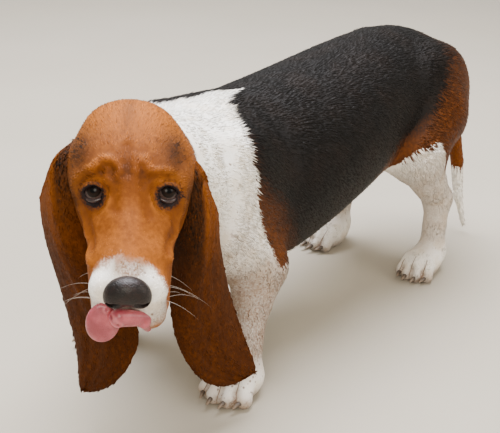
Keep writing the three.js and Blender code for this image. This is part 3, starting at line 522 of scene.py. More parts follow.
def eased(points, quads, share, rounds):
    """Moves each point towards the mean of its neighbours, by its share."""
    ends = np.concatenate([quads[:, pair] for pair in ((0, 1), (1, 2), (2, 3), (3, 0))])
    ends = ends[(share[ends] > 0).any(1)]
    many = np.bincount(ends.ravel(), minlength=len(points))
    for _ in range(rounds):
        total = np.stack([
            np.bincount(ends[:, 0], points[ends[:, 1], c], len(points))
            + np.bincount(ends[:, 1], points[ends[:, 0], c], len(points)) for c in range(3)], 1)
        mean = total / np.maximum(many, 1)[:, None]
        points = points + share[:, None] * (mean - points)
    return points


from_root = np.linalg.norm(points - TAIL_ROOT, axis=1)
points = eased(points, quads, EASED_SHARE * (1 - smooth(from_root, *EASED_WITHIN)), EASED_ROUNDS)
print("skin:", len(points), "vertices,", 2 * len(quads), "triangles")

# %% [markdown]
# ## Folds
#
# A basset's skin is too large for it. It gathers in a frown between the brows, arches over each
# eye, and creases at neck, wrist and ankle. Each fold is drawn as a short line in space, and the
# skin near it is pressed in or raised. That keeps the folds where they belong, from every side.

# %% The fold lines: in the head's frame, then in the body's
# Each: height (raised, or pressed in if negative), width, points
HEAD_FOLDS = (
    # The ring over the right eye, the arc from it down to the outer corner, and the lid below
    (2.5, 3.8, ((-38, 14, 32.5), (-31.7, 20.7, 36.9), (-26.5, 22.3, 38.5), (-19, 19.4, 39.2),
                (-13.8, 15, 38.2), (-11.5, 9.4, 36), (-13.5, 4.3, 33))),
    (2.4, 4.6, ((-61, 3, 2), (-58.4, 7.6, 12.7), (-54, 11.6, 19.8), (-47.4, 12.2, 26.0), (-38, 14, 32.0))),
    (-2.2, 3.0, ((-33, 12, 33.2), (-28.0, 15.8, 36.5), (-21.1, 14.8, 37.6), (-18.2, 10, 36))),
    (-2.0, 4.0, ((-30, 9, 31.5), (-23.9, 7.3, 32.6), (-18, 6, 33))),
    (1.8, 3.4, ((-50, 4, 8), (-48, 6.5, 11), (-44.4, 7.6, 18.3), (-38, 8.6, 22.2), (-32.6, 6.2, 23.8),
                (-27, 1, 24))),
    (-2.0, 3.4, ((-54, 8, 12), (-48, 11, 19), (-40, 12.6, 26), (-33, 10.5, 29))),
    # The upright frown between the brows
    (-1.8, 3.6, ((-3.2, 36, 44), (-2.5, 24, 41.8), (-2.1, 6.8, 35.3))),
    (-1.4, 3.2, ((-9.6, 16, 38), (-9.3, 4.2, 33.5))),
    (-1.4, 3.2, ((12.6, 12, 36), (12.3, 4, 32), (13.4, -4.1, 27.6))),
    (1.2, 3.6, ((4.4, 24, 41), (5, 8.9, 36.1))),
    (1.8, 4.2, ((15, 22, 39.6), (17.2, 11.8, 36.2), (19, 6, 33.2))),
    # The arcs over the left eye
    (2.5, 4.0, ((23, 9.5, 34), (33.9, 11.3, 31.4), (43.2, 13.0, 27.5), (51.6, 11.5, 18.9), (55.9, 7.6, 11.8),
                (56.5, 2, 4))),
    (1.8, 3.4, ((27, 2.5, 24), (32.8, 6.0, 22.4), (41.1, 8.9, 21.8), (47.4, 8.5, 17.1), (52.7, 6, 11.8))),
    (-2.0, 2.8, ((22, 4, 30.5), (28.7, 6.4, 29.8), (36, 8, 26.8), (43.6, 8.8, 21.6), (50, 7.2, 13.6))),
    # Hollows beside the bridge, the folds of the cheeks, and soft bags under the eyes
    (-2.0, 5.0, ((-15.5, 0, 30), (-17.4, -12.9, 21.6), (-16, -26, 16))),
    (-2.0, 5.0, ((18.5, 5.7, 32), (16.5, -7.9, 24.1), (17.7, -21.5, 16.3), (21, -31, 11.6))),
    (2.0, 3.8, ((-53, -4, -12), (-52.9, -12.5, -14.7), (-50.4, -20.5, -16.4), (-47.6, -35.5, -18.7),
                (-44.1, -57.1, -14.8), (-41.9, -73.7, -12.1))),
    (-1.8, 4.0, ((-49, -8, -6), (-46, -22, -9), (-42.5, -38, -10), (-39, -58, -7))),
    (2.0, 3.8, ((56, 0, -6), (55, -8.7, -13.4), (49.9, -31, -24.3), (44, -67.4, -13.6))),
    (-1.8, 4.0, ((50, -8, -6), (45.5, -31, -16), (40.5, -62, -8))),
    (1.2, 4.0, ((-47, -13, -4), (-38, -20, 4), (-28, -20, 8), (-22, -12, 14))),
    (1.2, 4.0, ((48, -13, -4), (39, -20, 4), (29, -20, 8), (23, -12, 14))))
BODY_FOLDS = (
    (-3.0, 7.0, ((112, -250, 56), (90, -262, 54), (72, -240, 56))),
    (-3.0, 7.0, ((-118, -266, 54), (-96, -276, 54), (-76, -254, 56))),
    (-2.6, 6.0, ((118, 226, 62), (96, 206, 52), (72, 214, 56))),
    (-2.6, 6.0, ((-112, 212, 60), (-90, 192, 52), (-66, 202, 56))),
    (-4.0, 12.0, ((86, -300, 330), (92, -296, 290), (82, -306, 250))),
    (-4.0, 14.0, ((98, -262, 320), (106, -262, 280), (98, -276, 236))))

# The grooves between the toes, which run back over the paw
TOE_GROOVES = []
for legs, toes in ((FRONT, FRONT_TOES), (HIND, HIND_TOES)):
    for side in SIDES:
        for (x0, reach, r), (x1, further, _) in zip(toes[:-1], toes[1:]):
            x, front = (x0 + x1) / 2, r - min(reach, further) - r
            way = ((x * 1.06, front - 1, 0.5 * r), (x * 1.03, front + 4, 1.5 * r),
                   (x * 0.95, front + 14, 2.1 * r), (x * 0.8, front + 28, 2.7 * r))
            TOE_GROOVES.append((-2.4, 2.6, tuple(tuple(paw_frame(legs[side]) @ Vector(v)) for v in way)))
BODY_FOLDS = BODY_FOLDS + tuple(TOE_GROOVES)


def line_distance(points, line):
    best = np.full(len(points), FAR)
    for a, b in zip(np.array(line[:-1], float), np.array(line[1:], float)):
        t = np.clip((points - a) @ (b - a) / ((b - a) @ (b - a)), 0, 1)
        best = np.minimum(best, np.linalg.norm(points - a - t[:, None] * (b - a), axis=1))
    return best


def in_frame(matrix, points):
    m = to_array(matrix.inverted())
    return points @ m[:3, :3].T + m[:3, 3]


def fold_height(points):
    height = np.zeros(len(points))
    for folds, own in ((HEAD_FOLDS, in_frame(HEAD, points)), (BODY_FOLDS, points)):
        for rise, width, line in folds:
            d = np.maximum(line_distance(own, line) - SKIN_INSET, 0)
            height += rise * np.exp(-((d / width) ** 2))
    return height


outward = gradient(DOG, points)
points = points + outward * fold_height(points)[:, None]
points[:, 2] = np.maximum(points[:, 2], 0)  # flat soles, on the floor
print("folds drawn:", len(HEAD_FOLDS) + len(BODY_FOLDS))

# %% [markdown]
# ## Markings and the lie of the coat
#
# The hound is a tricolour: white collar, legs and muzzle, a black saddle, and warm brown head,
# ears and haunches. White and black are fields in millimetres, positive inside, kept on the
# vertices, and the material turns them into hard or soft borders. Softer things are shares from
# 0 to 1: how deep the brown is, with painted shade and light in the folds, dark haze, partly
# painted shade on the ears' front panels, bare leather, freckles and the tan stain in the white,
# partly painted shade at the lips, legs, chest and between the toes. The tufts read them all at
# their roots, so that skin and coat agree. The lie of the hair is kept the same way.

# %% Where each part of the body is
def ramp(value, stations, results):
    return np.interp(value, stations, results)


def parts(p):
    """Shares of head, forelegs, hind legs and tail at each point."""
    head = smooth(distance(BODY_FORMS, p) - distance(HEAD_FORMS, p), -14, 14)
    fore = smooth(p[:, 1], -120, -150) * (1 - smooth(p[:, 2], 150, 235)) * (1 - head)
    fore = fore * smooth(np.abs(p[:, 0]), 30, 55)
    hind = smooth(p[:, 1], 90, 150) * (1 - smooth(p[:, 2], 190, 275)) * smooth(np.abs(p[:, 0]), 22, 40)
    tail = smooth(distance(BODY_FORMS[:-len(TAIL)], p) - distance(TAIL, p), -6, 10)
    return head, fore, hind * (1 - tail), tail


def paw_share(p):
    return 1 - smooth(p[:, 2], 30, 62)


# %% The markings
# Where the black saddle begins, by the angle round the trunk (0 is the spine) and the place along it
SADDLE_FRONT = ((-180, -165), (-116, -190), (-92, -216), (-66, -226), (-45, -228), (-21, -214), (-8, -203),
                (-5, -173), (1, -130), (7, -168), (12, -187), (22, -196), (36, -217), (46, -227), (56, -226),
                (66, -225), (79, -221), (92, -217), (104, -205), (113, -195), (118, -188), (180, -165))
ELBOW_TAN = ((160, -120), (179, -130), (203, -146), (238, -167), (260, -188), (274, -206), (300, -226))
HAUNCH_TAN = ((30, 190), (54, 214), (65, 237), (96, 256), (146, 262), (180, 278), (209, 316), (236, 350),
              (264, 366), (300, 376), (340, 380))
THIGH_WHITE = ((100, 190), (114, 211), (120, 222), (130, 232), (145, 238), (158, 240), (169, 244), (176, 220),
               (190, 196), (215, 182), (240, 176), (300, 172))

TRUNK_MIDDLE = 230  # the height that the angle round the trunk is taken about
TAIL_TIP_FROM = 120  # the tail is white below this height
FORELEG_WHITE_FROM = 168  # and so are the forelegs below this one
EYE_LEATHER = 16.5  # how far the dark bare skin reaches round each eye
# Where the white muzzle begins, along the head, by the place across it
MUZZLE_WHITE = ((-52, -104), (-44, -97), (-36, -89), (-28, -84), (-19, -82), (-8, -83), (0, -85), (8, -85),
                (20, -87), (29, -92), (36, -100), (44, -112))


def markings(p):
    x, y, z = p.T
    head, fore, hind, tail = parts(p)
    q = in_frame(HEAD, p)
    # Black saddle behind the collar, brown at elbow and haunch, white legs, belly and throat
    angle = np.degrees(np.arctan2(x, z - TRUNK_MIDDLE))
    behind = (y - ramp(angle, *np.transpose(SADDLE_FRONT))) * 0.9
    elbow = (ramp(z, *np.transpose(ELBOW_TAN)) - y) * 0.6
    haunch = ramp(y, *np.transpose(HAUNCH_TAN)) - z + 1.4 * np.minimum(y - 42, 0)
    thigh = ramp(y, *np.transpose(THIGH_WHITE)) - z + 1.6 * np.minimum(y - 98, 0)
    under = np.abs(angle) - ramp(y, (-220, -150, 60, 110, 200), (112, 132, 142, 128, 150))
    white = np.maximum(-behind, under * 1.6)
    white = np.maximum(white, np.where(y > 60, thigh, -FAR))
    white = np.maximum(white, np.where((y < -150) & (z < FORELEG_WHITE_FROM), FORELEG_WHITE_FROM - z, -FAR))
    haunch = haunch / (1 + 1.6 * smooth(y, 190, 280))  # the black fades slowly into brown on the rump
    black = np.minimum(-np.maximum(elbow, haunch), FAR)
    # Head: brown, with a white muzzle round the nose
    blaze = ramp(q[:, 0], *np.transpose(MUZZLE_WHITE)) - q[:, 1]
    head_white = 0.8 * np.maximum(np.minimum(blaze, q[:, 2] + 51), -63 - q[:, 2])
    white = white * (1 - head) + head_white * head
    black = black * (1 - head) - 40 * head
    # Tail: brown with a white tip
    white = np.where(tail > 0.5, TAIL_TIP_FROM - z, white)
    black = np.where(tail > 0.5, -30, black)
    # Dusk: soft black haze at the temples, along the skull and at the back of the neck
    haze = [strength * np.exp(-(((q - centre) / radii) ** 2).sum(1)) for strength, centre, radii in (
        (1.0, (-56, 42, 26), (19, 31, 22)), (1.0, (47, 39, 30), (17, 28, 18)),
        (0.45, (-3, 84, 44), (7, 34, 20)), (0.8, (-62, 4, -6), (14, 26, 20)),
        (0.8, (62, 4, -6), (10, 26, 22)))]
    dusk_and_shade = np.clip(sum(haze), 0, 1)
    # Dark: bare skin round the eyes and along the mouth
    eye_middle = [np.array(eye_frame(side) @ Vector((-0.5, -3, 6))) for side in SIDES]
    eye = sum(np.exp(-(np.linalg.norm(p - middle, axis=1) / EYE_LEATHER) ** 3) for middle in eye_middle)
    mouth = np.exp(-(((q - (0, -98, -57)) / (17, 26, 6)) ** 2).sum(1))
    dark = np.clip(eye + mouth, 0, 1) * head
    # Rust: how deep the brown is; the deeper brown over the frown is partly painted shade of its furrows
    rust_and_shade = head * (0.30 + 0.34 * np.exp(-(((q - (0, 8, 36)) / (40, 24, 16)) ** 2).sum(1))
                   - 0.22 * smooth(q[:, 1], 34, 90) - 0.16 * smooth(-q[:, 1], 40, 95)
                   + 0.2 * smooth(np.abs(q[:, 0]), 30, 50) * smooth(-q[:, 1], -10, 30))
    rust_and_shade = rust_and_shade - 0.11 * np.clip(fold_height(p), -3, 3) * head  # painted shade in the grooves of the folds and painted light on their ridges
    rust_and_shade = rust_and_shade + (1 - head) * (0.76 - 0.22 * smooth(y, 250, 330))
    # Tick: where the white is freckled
    tick = fore * 1.0 + 0.35 * smooth(-y, 150, 230) * (1 - head) + 0.4 * head * smooth(-q[:, 1], 70, 110)
    # Stain: where the white is tinged, above the nose and low on the paws; at the lips, low on the legs and
    # on the low chest it is tan tinge and painted shade, and along the grooves between the toes it is painted
    # shade
    stain_and_shade = head * (2.2 * np.exp(-(((q - (2, -91, 9)) / (15, 13, 16)) ** 2).sum(1))
                    + smooth(-q[:, 2], 14, 46) * (0.45 + 0.45 * smooth(q[:, 0], -10, 30)))
    low_chest = smooth(-y, 215, 250) * (1 - smooth(z, 200, 300))
    tinged_and_shaded = np.maximum(0.9 * fore + 0.65 * hind, 0.5 * low_chest)
    stain_and_shade = stain_and_shade + (1 - head) * tinged_and_shaded * (1 - 0.75 * paw_share(p))
    foot = np.flatnonzero(p[:, 2] < 62)
    between_toes = np.full(len(p), FAR)
    for _, _, line in TOE_GROOVES:
        between_toes[foot] = np.minimum(between_toes[foot], line_distance(p[foot], line))
    # painted shade along the grooves between the toes
    stain_and_shade = stain_and_shade + (fore + hind) * (0.6 * (1 - smooth(z, 6, 28)) + 0.5 * np.exp(-((between_toes / 4) ** 2)))
    dusk_and_shade = dusk_and_shade * head + (1 - head) * 0.45 * np.exp(-((black / 24) ** 2))
    return dict(white=np.clip(white, -FAR, FAR), black=np.clip(black, -FAR, FAR), rust_and_shade=np.clip(rust_and_shade, 0, 1),
                dusk_and_shade=dusk_and_shade, dark=dark, tick=np.clip(tick, 0, 1), stain_and_shade=np.clip(stain_and_shade, 0, 1), soft=head)


# %% The lie of the hair, its length, width and how densely it grows
def tangent(direction, normal):
    flat = direction - normal * (direction * normal).sum(1, keepdims=True)
    return flat / np.maximum(np.linalg.norm(flat, axis=1, keepdims=True), 1e-6)


def coat_growth(p, normal):
    head, fore, hind, tail = parts(p)
    q = in_frame(HEAD, p)
    lie = np.zeros_like(p)
    lie += (0, 1, 0)
    lie[:, 2] -= 0.35 + 0.5 * smooth(np.abs(p[:, 0]), 60, 120)
    croup = smooth(p[:, 1], 350, 410) * (1 - tail)
    lie += croup[:, None] * np.array((0, -0.7, -1.1))
    down = np.clip(fore + hind, 0, 1)[:, None]
    lie = lie * (1 - down) + down * np.array((0, 0.15, -1.0))
    foot = (paw_share(p) * (p[:, 2] < 70))[:, None]
    lie = lie * (1 - foot) + foot * np.array((0, -1.0, -0.5))
    lie = np.where(tail[:, None] > 0.5, np.array((0.1, 0.25, -1.0)), lie)
    back = np.stack([0.55 * np.tanh(q[:, 0] / 26), np.ones(len(p)),
                     -0.25 - 0.5 * smooth(np.abs(q[:, 0]), 20, 60)], 1)
    turn = to_array(HEAD)[:3, :3]
    lie = lie * (1 - head[:, None]) + head[:, None] * (back @ turn.T)
    face = head * smooth(-q[:, 1], -60, 20)
    length = 13 - 3.5 * smooth(-p[:, 1], 180, 300) - 5 * down[:, 0] - 2 * foot[:, 0] - 5 * croup
    length = length * (1 - tail) + tail * (9 + 4 * (p[:, 2] < 125))
    length = length - 14 * tail * (1 - tail)  # short hair in the hollow at the tail's root
    length = length * (1 - head) + head * (7.0 - 2.8 * face)
    spacing = 2.6 + 0.2 * down[:, 0] - 0.5 * foot[:, 0] - 0.3 * smooth(-p[:, 1], 180, 250) * (1 - down[:, 0])
    spacing = spacing * (1 - head) + head * (1.8 - 0.3 * face)
    return tangent(lie, normal), length, spacing


marks = markings(points)
lie, length, spacing = coat_growth(points, outward)
print("white", (marks["white"] > 0).mean(), "black", (marks["black"] > 0).mean())

# %% [markdown]
# ## Meshes
#
# Everything so far is numbers. A piece becomes a mesh in metres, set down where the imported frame
# has the eye, with its fields stored as attributes that materials and Geometry Nodes can read.

# %% Millimetres of the sculpture to metres of the frame
low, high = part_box("eye_left")
SHIFT = np.array((low + high) / 2) - np.array(eye_frame(1).translation) / 1000
print("shift in metres:", SHIFT.round(4))


def metres(points):
    return np.asarray(points, dtype=np.float64) / 1000 + SHIFT


def piece_from(name, points, faces, fields=None):
    mesh = bpy.data.meshes.new(name)
    mesh.from_pydata(metres(points).tolist(), [], [list(map(int, f)) for f in faces])
    mesh.validate()
    for key, values in (fields or {}).items():
        values = np.asarray(values, dtype=np.float32)
        if values.ndim == 2:
            mesh.attributes.new(key, "FLOAT_VECTOR", "POINT").data.foreach_set("vector", values.ravel())
        else:
            mesh.attributes.new(key, "FLOAT", "POINT").data.foreach_set("value", values)
    mesh.polygons.foreach_set("use_smooth", [True] * len(mesh.polygons))
    piece = bpy.data.objects.new(name, mesh)
    bpy.context.scene.collection.objects.link(piece)
    print(name, len(mesh.vertices), "vertices")
    return piece


def finish_piece(piece, replaced, material):
    if material is not None:
        piece.data.materials.clear()
        piece.data.materials.append(material)
    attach(piece, "root")
    if replaced:
        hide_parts(*replaced)


def coat_fields(points, marks, lie, length, spacing):
    return dict(marks, root=metres(points), lie=lie, length=length, spacing=spacing)


skin = piece_from("skin", points, quads, coat_fields(points, marks, lie, length, spacing))

# %% [markdown]
# ## Ears
#
# The ear is one sheet with a front and a back face. Its rim is thin at the front edge and rolls
# over a little at the root. Long soft ripples run down it. The grid is fine, because the light
# on the ears shows every wave.

# %% Two ear sheets
EAR_ROWS, EAR_COLUMNS = 110, 44
EAR_HALF = 1.5  # half of the leather's thickness; the coat lies on both faces
EAR_END = 0.9995  # the last row, just before the tip closes to a point
EAR_HAIR, EAR_SPACING = 7.5, 2.4  # how long the hair is, and how far apart


def ear_grid(side):
    s = np.linspace(0, 1, EAR_ROWS + 1)
    past = (s - 0.5) / 0.5
    u = np.where(past < 0, s / 0.5 * TIP_FROM, TIP_FROM + (EAR_END - TIP_FROM) * np.sin(past * np.pi / 2))
    v = 0.5 - 0.5 * np.cos(np.linspace(0, 1, EAR_COLUMNS + 1) * np.pi)
    uu, vv = np.meshgrid(u, v, indexing="ij")
    return uu, vv, ear_points(side, uu, vv)


def ear_sheet(side):
    uu, vv, middle = ear_grid(side)
    du, dv = np.gradient(middle, axis=0), np.gradient(middle, axis=1)
    normal = np.cross(dv, du)
    normal /= np.maximum(np.linalg.norm(normal, axis=2, keepdims=True), 1e-9)
    ripple = 1.6 * np.sin(vv * 9 + 1.5 * np.sin(uu * 5) + side) * smooth(uu, 0.12, 0.4) * np.sin(vv * np.pi)
    vein = 0.5 * np.sin(vv * 31 + 4 * np.sin(uu * 7)) * np.sin(vv * np.pi) * smooth(uu, 0.1, 0.3)
    middle = middle + normal * (ripple + vein)[..., None]
    edge = np.minimum(np.minimum(vv, 1 - vv) * 9, 1)
    half = EAR_HALF * np.sqrt(np.clip(edge * np.minimum((1 - uu) * 30, 1), 0, 1))
    rows, columns = uu.shape
    front = (middle + normal * half[..., None]).reshape(-1, 3)
    back = (middle - normal * half[..., None]).reshape(-1, 3)
    border = np.zeros((rows, columns), bool)
    border[0], border[-1], border[:, 0], border[:, -1] = True, True, True, True
    ids = np.arange(rows * columns).reshape(rows, columns)
    inner = ~border.ravel()
    back_ids = np.where(inner, rows * columns + np.cumsum(inner) - 1, ids.ravel()).reshape(rows, columns)
    points = np.concatenate([front, back[inner]])
    quad = lambda n: np.stack([n[:-1, :-1], n[:-1, 1:], n[1:, 1:], n[1:, :-1]], -1).reshape(-1, 4)
    faces = np.concatenate([quad(ids), quad(back_ids)[:, ::-1]])
    twice = lambda a: np.concatenate([a.reshape(rows * columns, -1), a.reshape(rows * columns, -1)[inner]])
    outward = np.concatenate([normal.reshape(-1, 3), -normal.reshape(-1, 3)[inner]])
    return points, faces, outward, twice(uu)[:, 0], twice(vv)[:, 0], twice(du)


def ear_piece(side):
    points, faces, outward, u, v, along = ear_sheet(side)
    leading = smooth(v, 0.42, 0.6)  # the front panel, turned towards the face
    # Painted highlight: the brown is lighter along the ridge where the ear folds
    ridge = np.exp(-(((v - 0.4) / 0.07) ** 2)) * smooth(u, 0.08, 0.2) * (1 - smooth(u, 0.45, 0.7))
    rust_and_shade = 0.62 + 0.28 * smooth(u, 0.3, 0.6) - 0.2 * (1 - smooth(u, 0.1, 0.5)) * (1 - leading) - 0.1 * ridge
    # Painted shade: the front panel is darkened near the root, partly for its dark hair and partly for the
    # shade between ear and cheek
    dusk_and_shade = leading * (1 - smooth(u, *((0.4, 0.7) if side == 1 else (0.16, 0.5))))
    flat = np.full(len(points), -FAR)
    marks = dict(white=flat, black=flat, rust_and_shade=np.clip(rust_and_shade, 0, 1), dusk_and_shade=dusk_and_shade, dark=0 * flat, tick=0 * flat)
    lie = tangent(along + np.array((0, 0.0, -0.2)), outward)
    length, spacing = (np.full(len(points), value) for value in (EAR_HAIR, EAR_SPACING))
    piece = piece_from("ear_leather_" + WORD[side], points, faces,
                       coat_fields(points, marks, lie, length, spacing))
    uv = piece.data.uv_layers.new(name="OFBake")
    rows, columns = EAR_ROWS + 1, EAR_COLUMNS + 1
    corner = np.empty(len(piece.data.loops), dtype=np.int64)
    piece.data.loops.foreach_get("vertex_index", corner)
    half_way = np.arange(len(corner)) >= len(corner) // 2
    across = v[corner] * 0.48 + 0.01 + 0.5 * half_way
    uv.data.foreach_set("uv", np.stack([across, u[corner] * 0.98 + 0.01], -1).ravel())
    return piece


ears = {side: ear_piece(side) for side in SIDES}

# %% [markdown]
# ## Eyes and lids
#
# The eyeball is a ball with a slightly raised cornea. Round it lies a rim of black leather, and
# the lids roll from the rim back into the face. The lower lid hangs away from the eye, which
# shows the haw, the dark wet inside of the lid, in the gap: that gives a basset its look.

# %% Eyeballs
RINGS, SPOKES = 28, 40


def turned(profile_points, spokes):
    """A closed shape turned about z: a pole, rings of points (radius, z), and a pole."""
    points, faces = [(0, 0, profile_points[0][1])], []
    for radius, z in profile_points[1:-1]:
        points += [(radius * math.cos(a), radius * math.sin(a), z)
                   for a in np.linspace(0, 2 * math.pi, spokes, endpoint=False)]
    points.append((0, 0, profile_points[-1][1]))
    last = len(points) - 1
    for j in range(spokes):
        k = (j + 1) % spokes
        faces.append((0, 1 + k, 1 + j))
        for i in range(len(profile_points) - 3):
            a, b = 1 + i * spokes, 1 + (i + 1) * spokes
            faces.append((a + j, a + k, b + k, b + j))
        base = 1 + (len(profile_points) - 3) * spokes
        faces.append((base + j, base + k, last))
    return np.array(points, float), faces


def placed(matrix, points):
    m = to_array(matrix)
    return points @ m[:3, :3].T + m[:3, 3]


GAZE = {1: (-17, -2), -1: (-17, -8)}  # degrees: upwards, and towards the nose


def eyeball(side):
    r = EYE_RADIUS - 0.15
    outline = []
    for i in range(RINGS + 1):
        t = math.pi * (1 - i / RINGS)
        bulge = 0.55 * math.exp(-((math.sin(t) * r / 6.4) ** 4)) * (math.cos(t) > 0)
        outline.append((r * math.sin(t), (r + bulge - 0.55) * math.cos(t)))
    local, faces = turned(outline, SPOKES)
    up, inward = (math.radians(v) for v in GAZE[side])
    look = eye_frame(side) @ Matrix.Rotation(inward, 4, "Y") @ Matrix.Rotation(up, 4, "X")
    piece = piece_from("eyeball_" + WORD[side], placed(look, local), faces, dict(eye=local))
    if side == -1:
        piece.data.flip_normals()
    return piece


eyes = {side: eyeball(side) for side in SIDES}

# %% Lids: a loft from the wet rim back into the face
# The rim, in the eye's frame, from the outer corner over the top to the inner corner and back
RIM = ((10.8, -3.0, 6.4), (8.8, 1.4, 8.9), (5.2, 4.6, 10.3), (0.2, 6.8, 10.4), (-4.4, 7.0, 9.6),
       (-8.6, 3.8, 8.6), (-11.4, -2.4, 5.4), (-12.4, -6.4, 3.4), (-9.2, -9.6, 4.4), (-4.2, -12.2, 5.2),
       (1.0, -13.0, 5.8), (6.0, -11.6, 6.0), (9.6, -7.6, 6.2))
# Rings that follow the rim: how far outward, and how far along the gaze
LID_RINGS = ((-1.6, -2.6), (-0.7, -0.8), (0.0, 0.0), (0.7, 0.8), (1.7, 1.2), (3.0, 1.3), (4.6, 0.9),
             (6.6, -0.4), (9.0, -2.8), (12.0, -6.5))
DARK_RINGS, BARE_RINGS, HIGHLIGHT_RING = 5, 4, 2  # those of dark leather, the hairless ones, the wet edge with its painted highlight
HOOD = 2.4  # how far the upper lid's fold stands over the rim
LID_STEPS = 96


def closed_curve(points, count):
    """Points spread along a smooth closed curve through the given ones."""
    p = np.array(points, float)
    n = len(p)
    t = np.linspace(0, n, count, endpoint=False)
    i, f = np.floor(t).astype(int), (t % 1)[:, None]
    a, b, c, d = (p[(i + k) % n] for k in (-1, 0, 1, 2))
    return 0.5 * (2 * b + (c - a) * f + (2 * a - 5 * b + 4 * c - d) * f ** 2
                  + (3 * b - a - 3 * c + d) * f ** 3)


def lid_piece(side):
    rim = closed_curve(RIM, LID_STEPS)
    middle = np.array((-0.5, -2.0, 0))
    out = rim - middle
    out[:, 2] = 0
    out /= np.linalg.norm(out, axis=1, keepdims=True)
    above = smooth(out[:, 1], 0.1, 0.9)
    rings = []
    for o, h in LID_RINGS:
        hood = HOOD * above * math.exp(-(((o - 4) / 3) ** 2))
        rings.append(rim + out * (o - 0.35 * hood)[:, None] + np.stack([0 * hood, 0 * hood, h + hood], 1))
    local = np.concatenate(rings)
    n = LID_STEPS
    faces = [(i * n + j, i * n + (j + 1) % n, (i + 1) * n + (j + 1) % n, (i + 1) * n + j)
             for i in range(len(rings) - 1) for j in range(n)]
    # A closing wall behind, so that the lid is a solid roll and not a loose strip
    last = (len(rings) - 1) * n
    faces += [(last + j, last + (j + 1) % n, (j + 1) % n, j) for j in range(n)]
    if side == 1:
        faces = [f[::-1] for f in faces]
    p = placed(eye_frame(side), local)
    fields = dict(markings(p), root=metres(p))
    ring = np.repeat(np.arange(len(rings)), n)
    fields["dark"] = np.clip(fields["dark"] + (ring < DARK_RINGS), 0, 1)
    fields["rim"] = (ring < BARE_RINGS).astype(float)
    # painted highlight: a lighter line along the lower lid's wet edge
    fields["wet"] = 0.6 * (ring == HIGHLIGHT_RING) * smooth(-np.tile(out[:, 1], len(rings)), 0.35, 0.8)
    return piece_from("lid_" + WORD[side], p, faces, fields)


lid_pieces = {side: lid_piece(side) for side in SIDES}

# %% The haw: a wet dark crescent in the lower lid's gap
HAW = ((11.0, -4.0, 4.0), (6.6, -7.6, 6.6), (0.6, -9.0, 7.2), (-5.2, -8.2, 6.4), (-11.0, -5.0, 3.6))


def tube(line, radii, spokes):
    """A closed, tapered tube along a line, with a pole at each end."""
    line = np.array(line, float)
    along = np.gradient(line, axis=0)
    along /= np.linalg.norm(along, axis=1, keepdims=True)
    level = np.cross(along, (0.3, 0.2, 1.0))
    level /= np.linalg.norm(level, axis=1, keepdims=True)
    side = np.cross(along, level)
    points, faces = [line[0]], []
    for i in range(1, len(line) - 1):
        for a in np.linspace(0, 2 * math.pi, spokes, endpoint=False):
            points.append(line[i] + radii[i] * (level[i] * math.cos(a) + side[i] * math.sin(a)))
    points.append(line[-1])
    last = len(points) - 1
    for j in range(spokes):
        k = (j + 1) % spokes
        faces.append((0, 1 + k, 1 + j))
        for i in range(len(line) - 3):
            a, b = 1 + i * spokes, 1 + (i + 1) * spokes
            faces.append((a + j, a + k, b + k, b + j))
        faces.append((last - spokes + j, last - spokes + k, last))
    return np.array(points), faces


def open_curve(points, count):
    stations = np.arange(len(points))
    t = np.linspace(0, len(points) - 1, count)
    return np.stack([profile(stations, np.array(points)[:, i])(t) for i in range(3)], -1)


def haw_piece(side):
    line = open_curve(HAW, 24)
    s = np.linspace(0, 1, 24)
    local, faces = tube(line, 0.4 + 2.4 * np.sin(s * np.pi) ** 0.8, 14)
    piece = piece_from("haw_" + WORD[side], placed(eye_frame(side), local), faces)
    if side == -1:
        piece.data.flip_normals()
    return piece


haws = {side: haw_piece(side) for side in SIDES}

# %% [markdown]
# ## Nose and tongue
#
# Both are nets over their own forms, finer than the skin, so that the nostrils, the groove under
# the nose and the fold of the tongue come out sharp. Their pebbles and papillae are in the
# materials.

# %% Nets for nose and tongue
TONGUE_CREASE = ((-20.5, -121, -14), (-20.7, -123, -26), (-15.0, -132.8, -25), (-9.5, -138.4, -28.6))


def fine_piece(name, forms, low, high, cell, crease=None):
    lines = tuple(grid_line(a, (cell, b)) for a, b in zip(low, high))
    p, q = largest_part(*surface_net(forms, lines))
    p = drawn_on(forms, p, 0)
    local = in_frame(HEAD, p)
    fields = dict(own=local / 1000)
    if crease:
        near = line_distance(local, crease)
        swell = np.exp(-(((near - 3.4) / 1.6) ** 2)) - 1.8 * np.exp(-((near / 1.5) ** 2))
        p = p + gradient(forms, p) * swell[:, None]
        # Painted shade along the tongue's fold and a painted highlight on its rolled edge, for the material
        fields.update(crease=0.75 * np.exp(-((near / 1.4) ** 2)),
                      rim=0.5 * np.exp(-(((near - 3.6) / 1.5) ** 2)))
    return piece_from(name, p, q, fields)


MUZZLE_LOW, MUZZLE_HIGH = (116, -548, 186), (214, -446, 292)
nose = fine_piece("nose_leather", NOSE, MUZZLE_LOW, MUZZLE_HIGH, 1.1)
tongue = fine_piece("tongue_flesh", TONGUE, MUZZLE_LOW, MUZZLE_HIGH, 1.0, TONGUE_CREASE)

# %% [markdown]
# ## Claws
#
# A claw is a tapered horn that bends down towards the ground. It is turned on its own axis, then
# bent, and set into the front of its toe.

# %% Sixteen claws
CLAW_PROFILE = ((0, 0), (2.6, 0.0), (3.0, 0.15), (3.05, 0.32), (2.6, 0.58), (2.0, 0.76), (1.2, 0.9),
                (0.5, 0.98), (0, 1))
CLAW_BEND = math.radians(38)
CLAW_LENGTH = 17
CLAW_SPOKES = 18


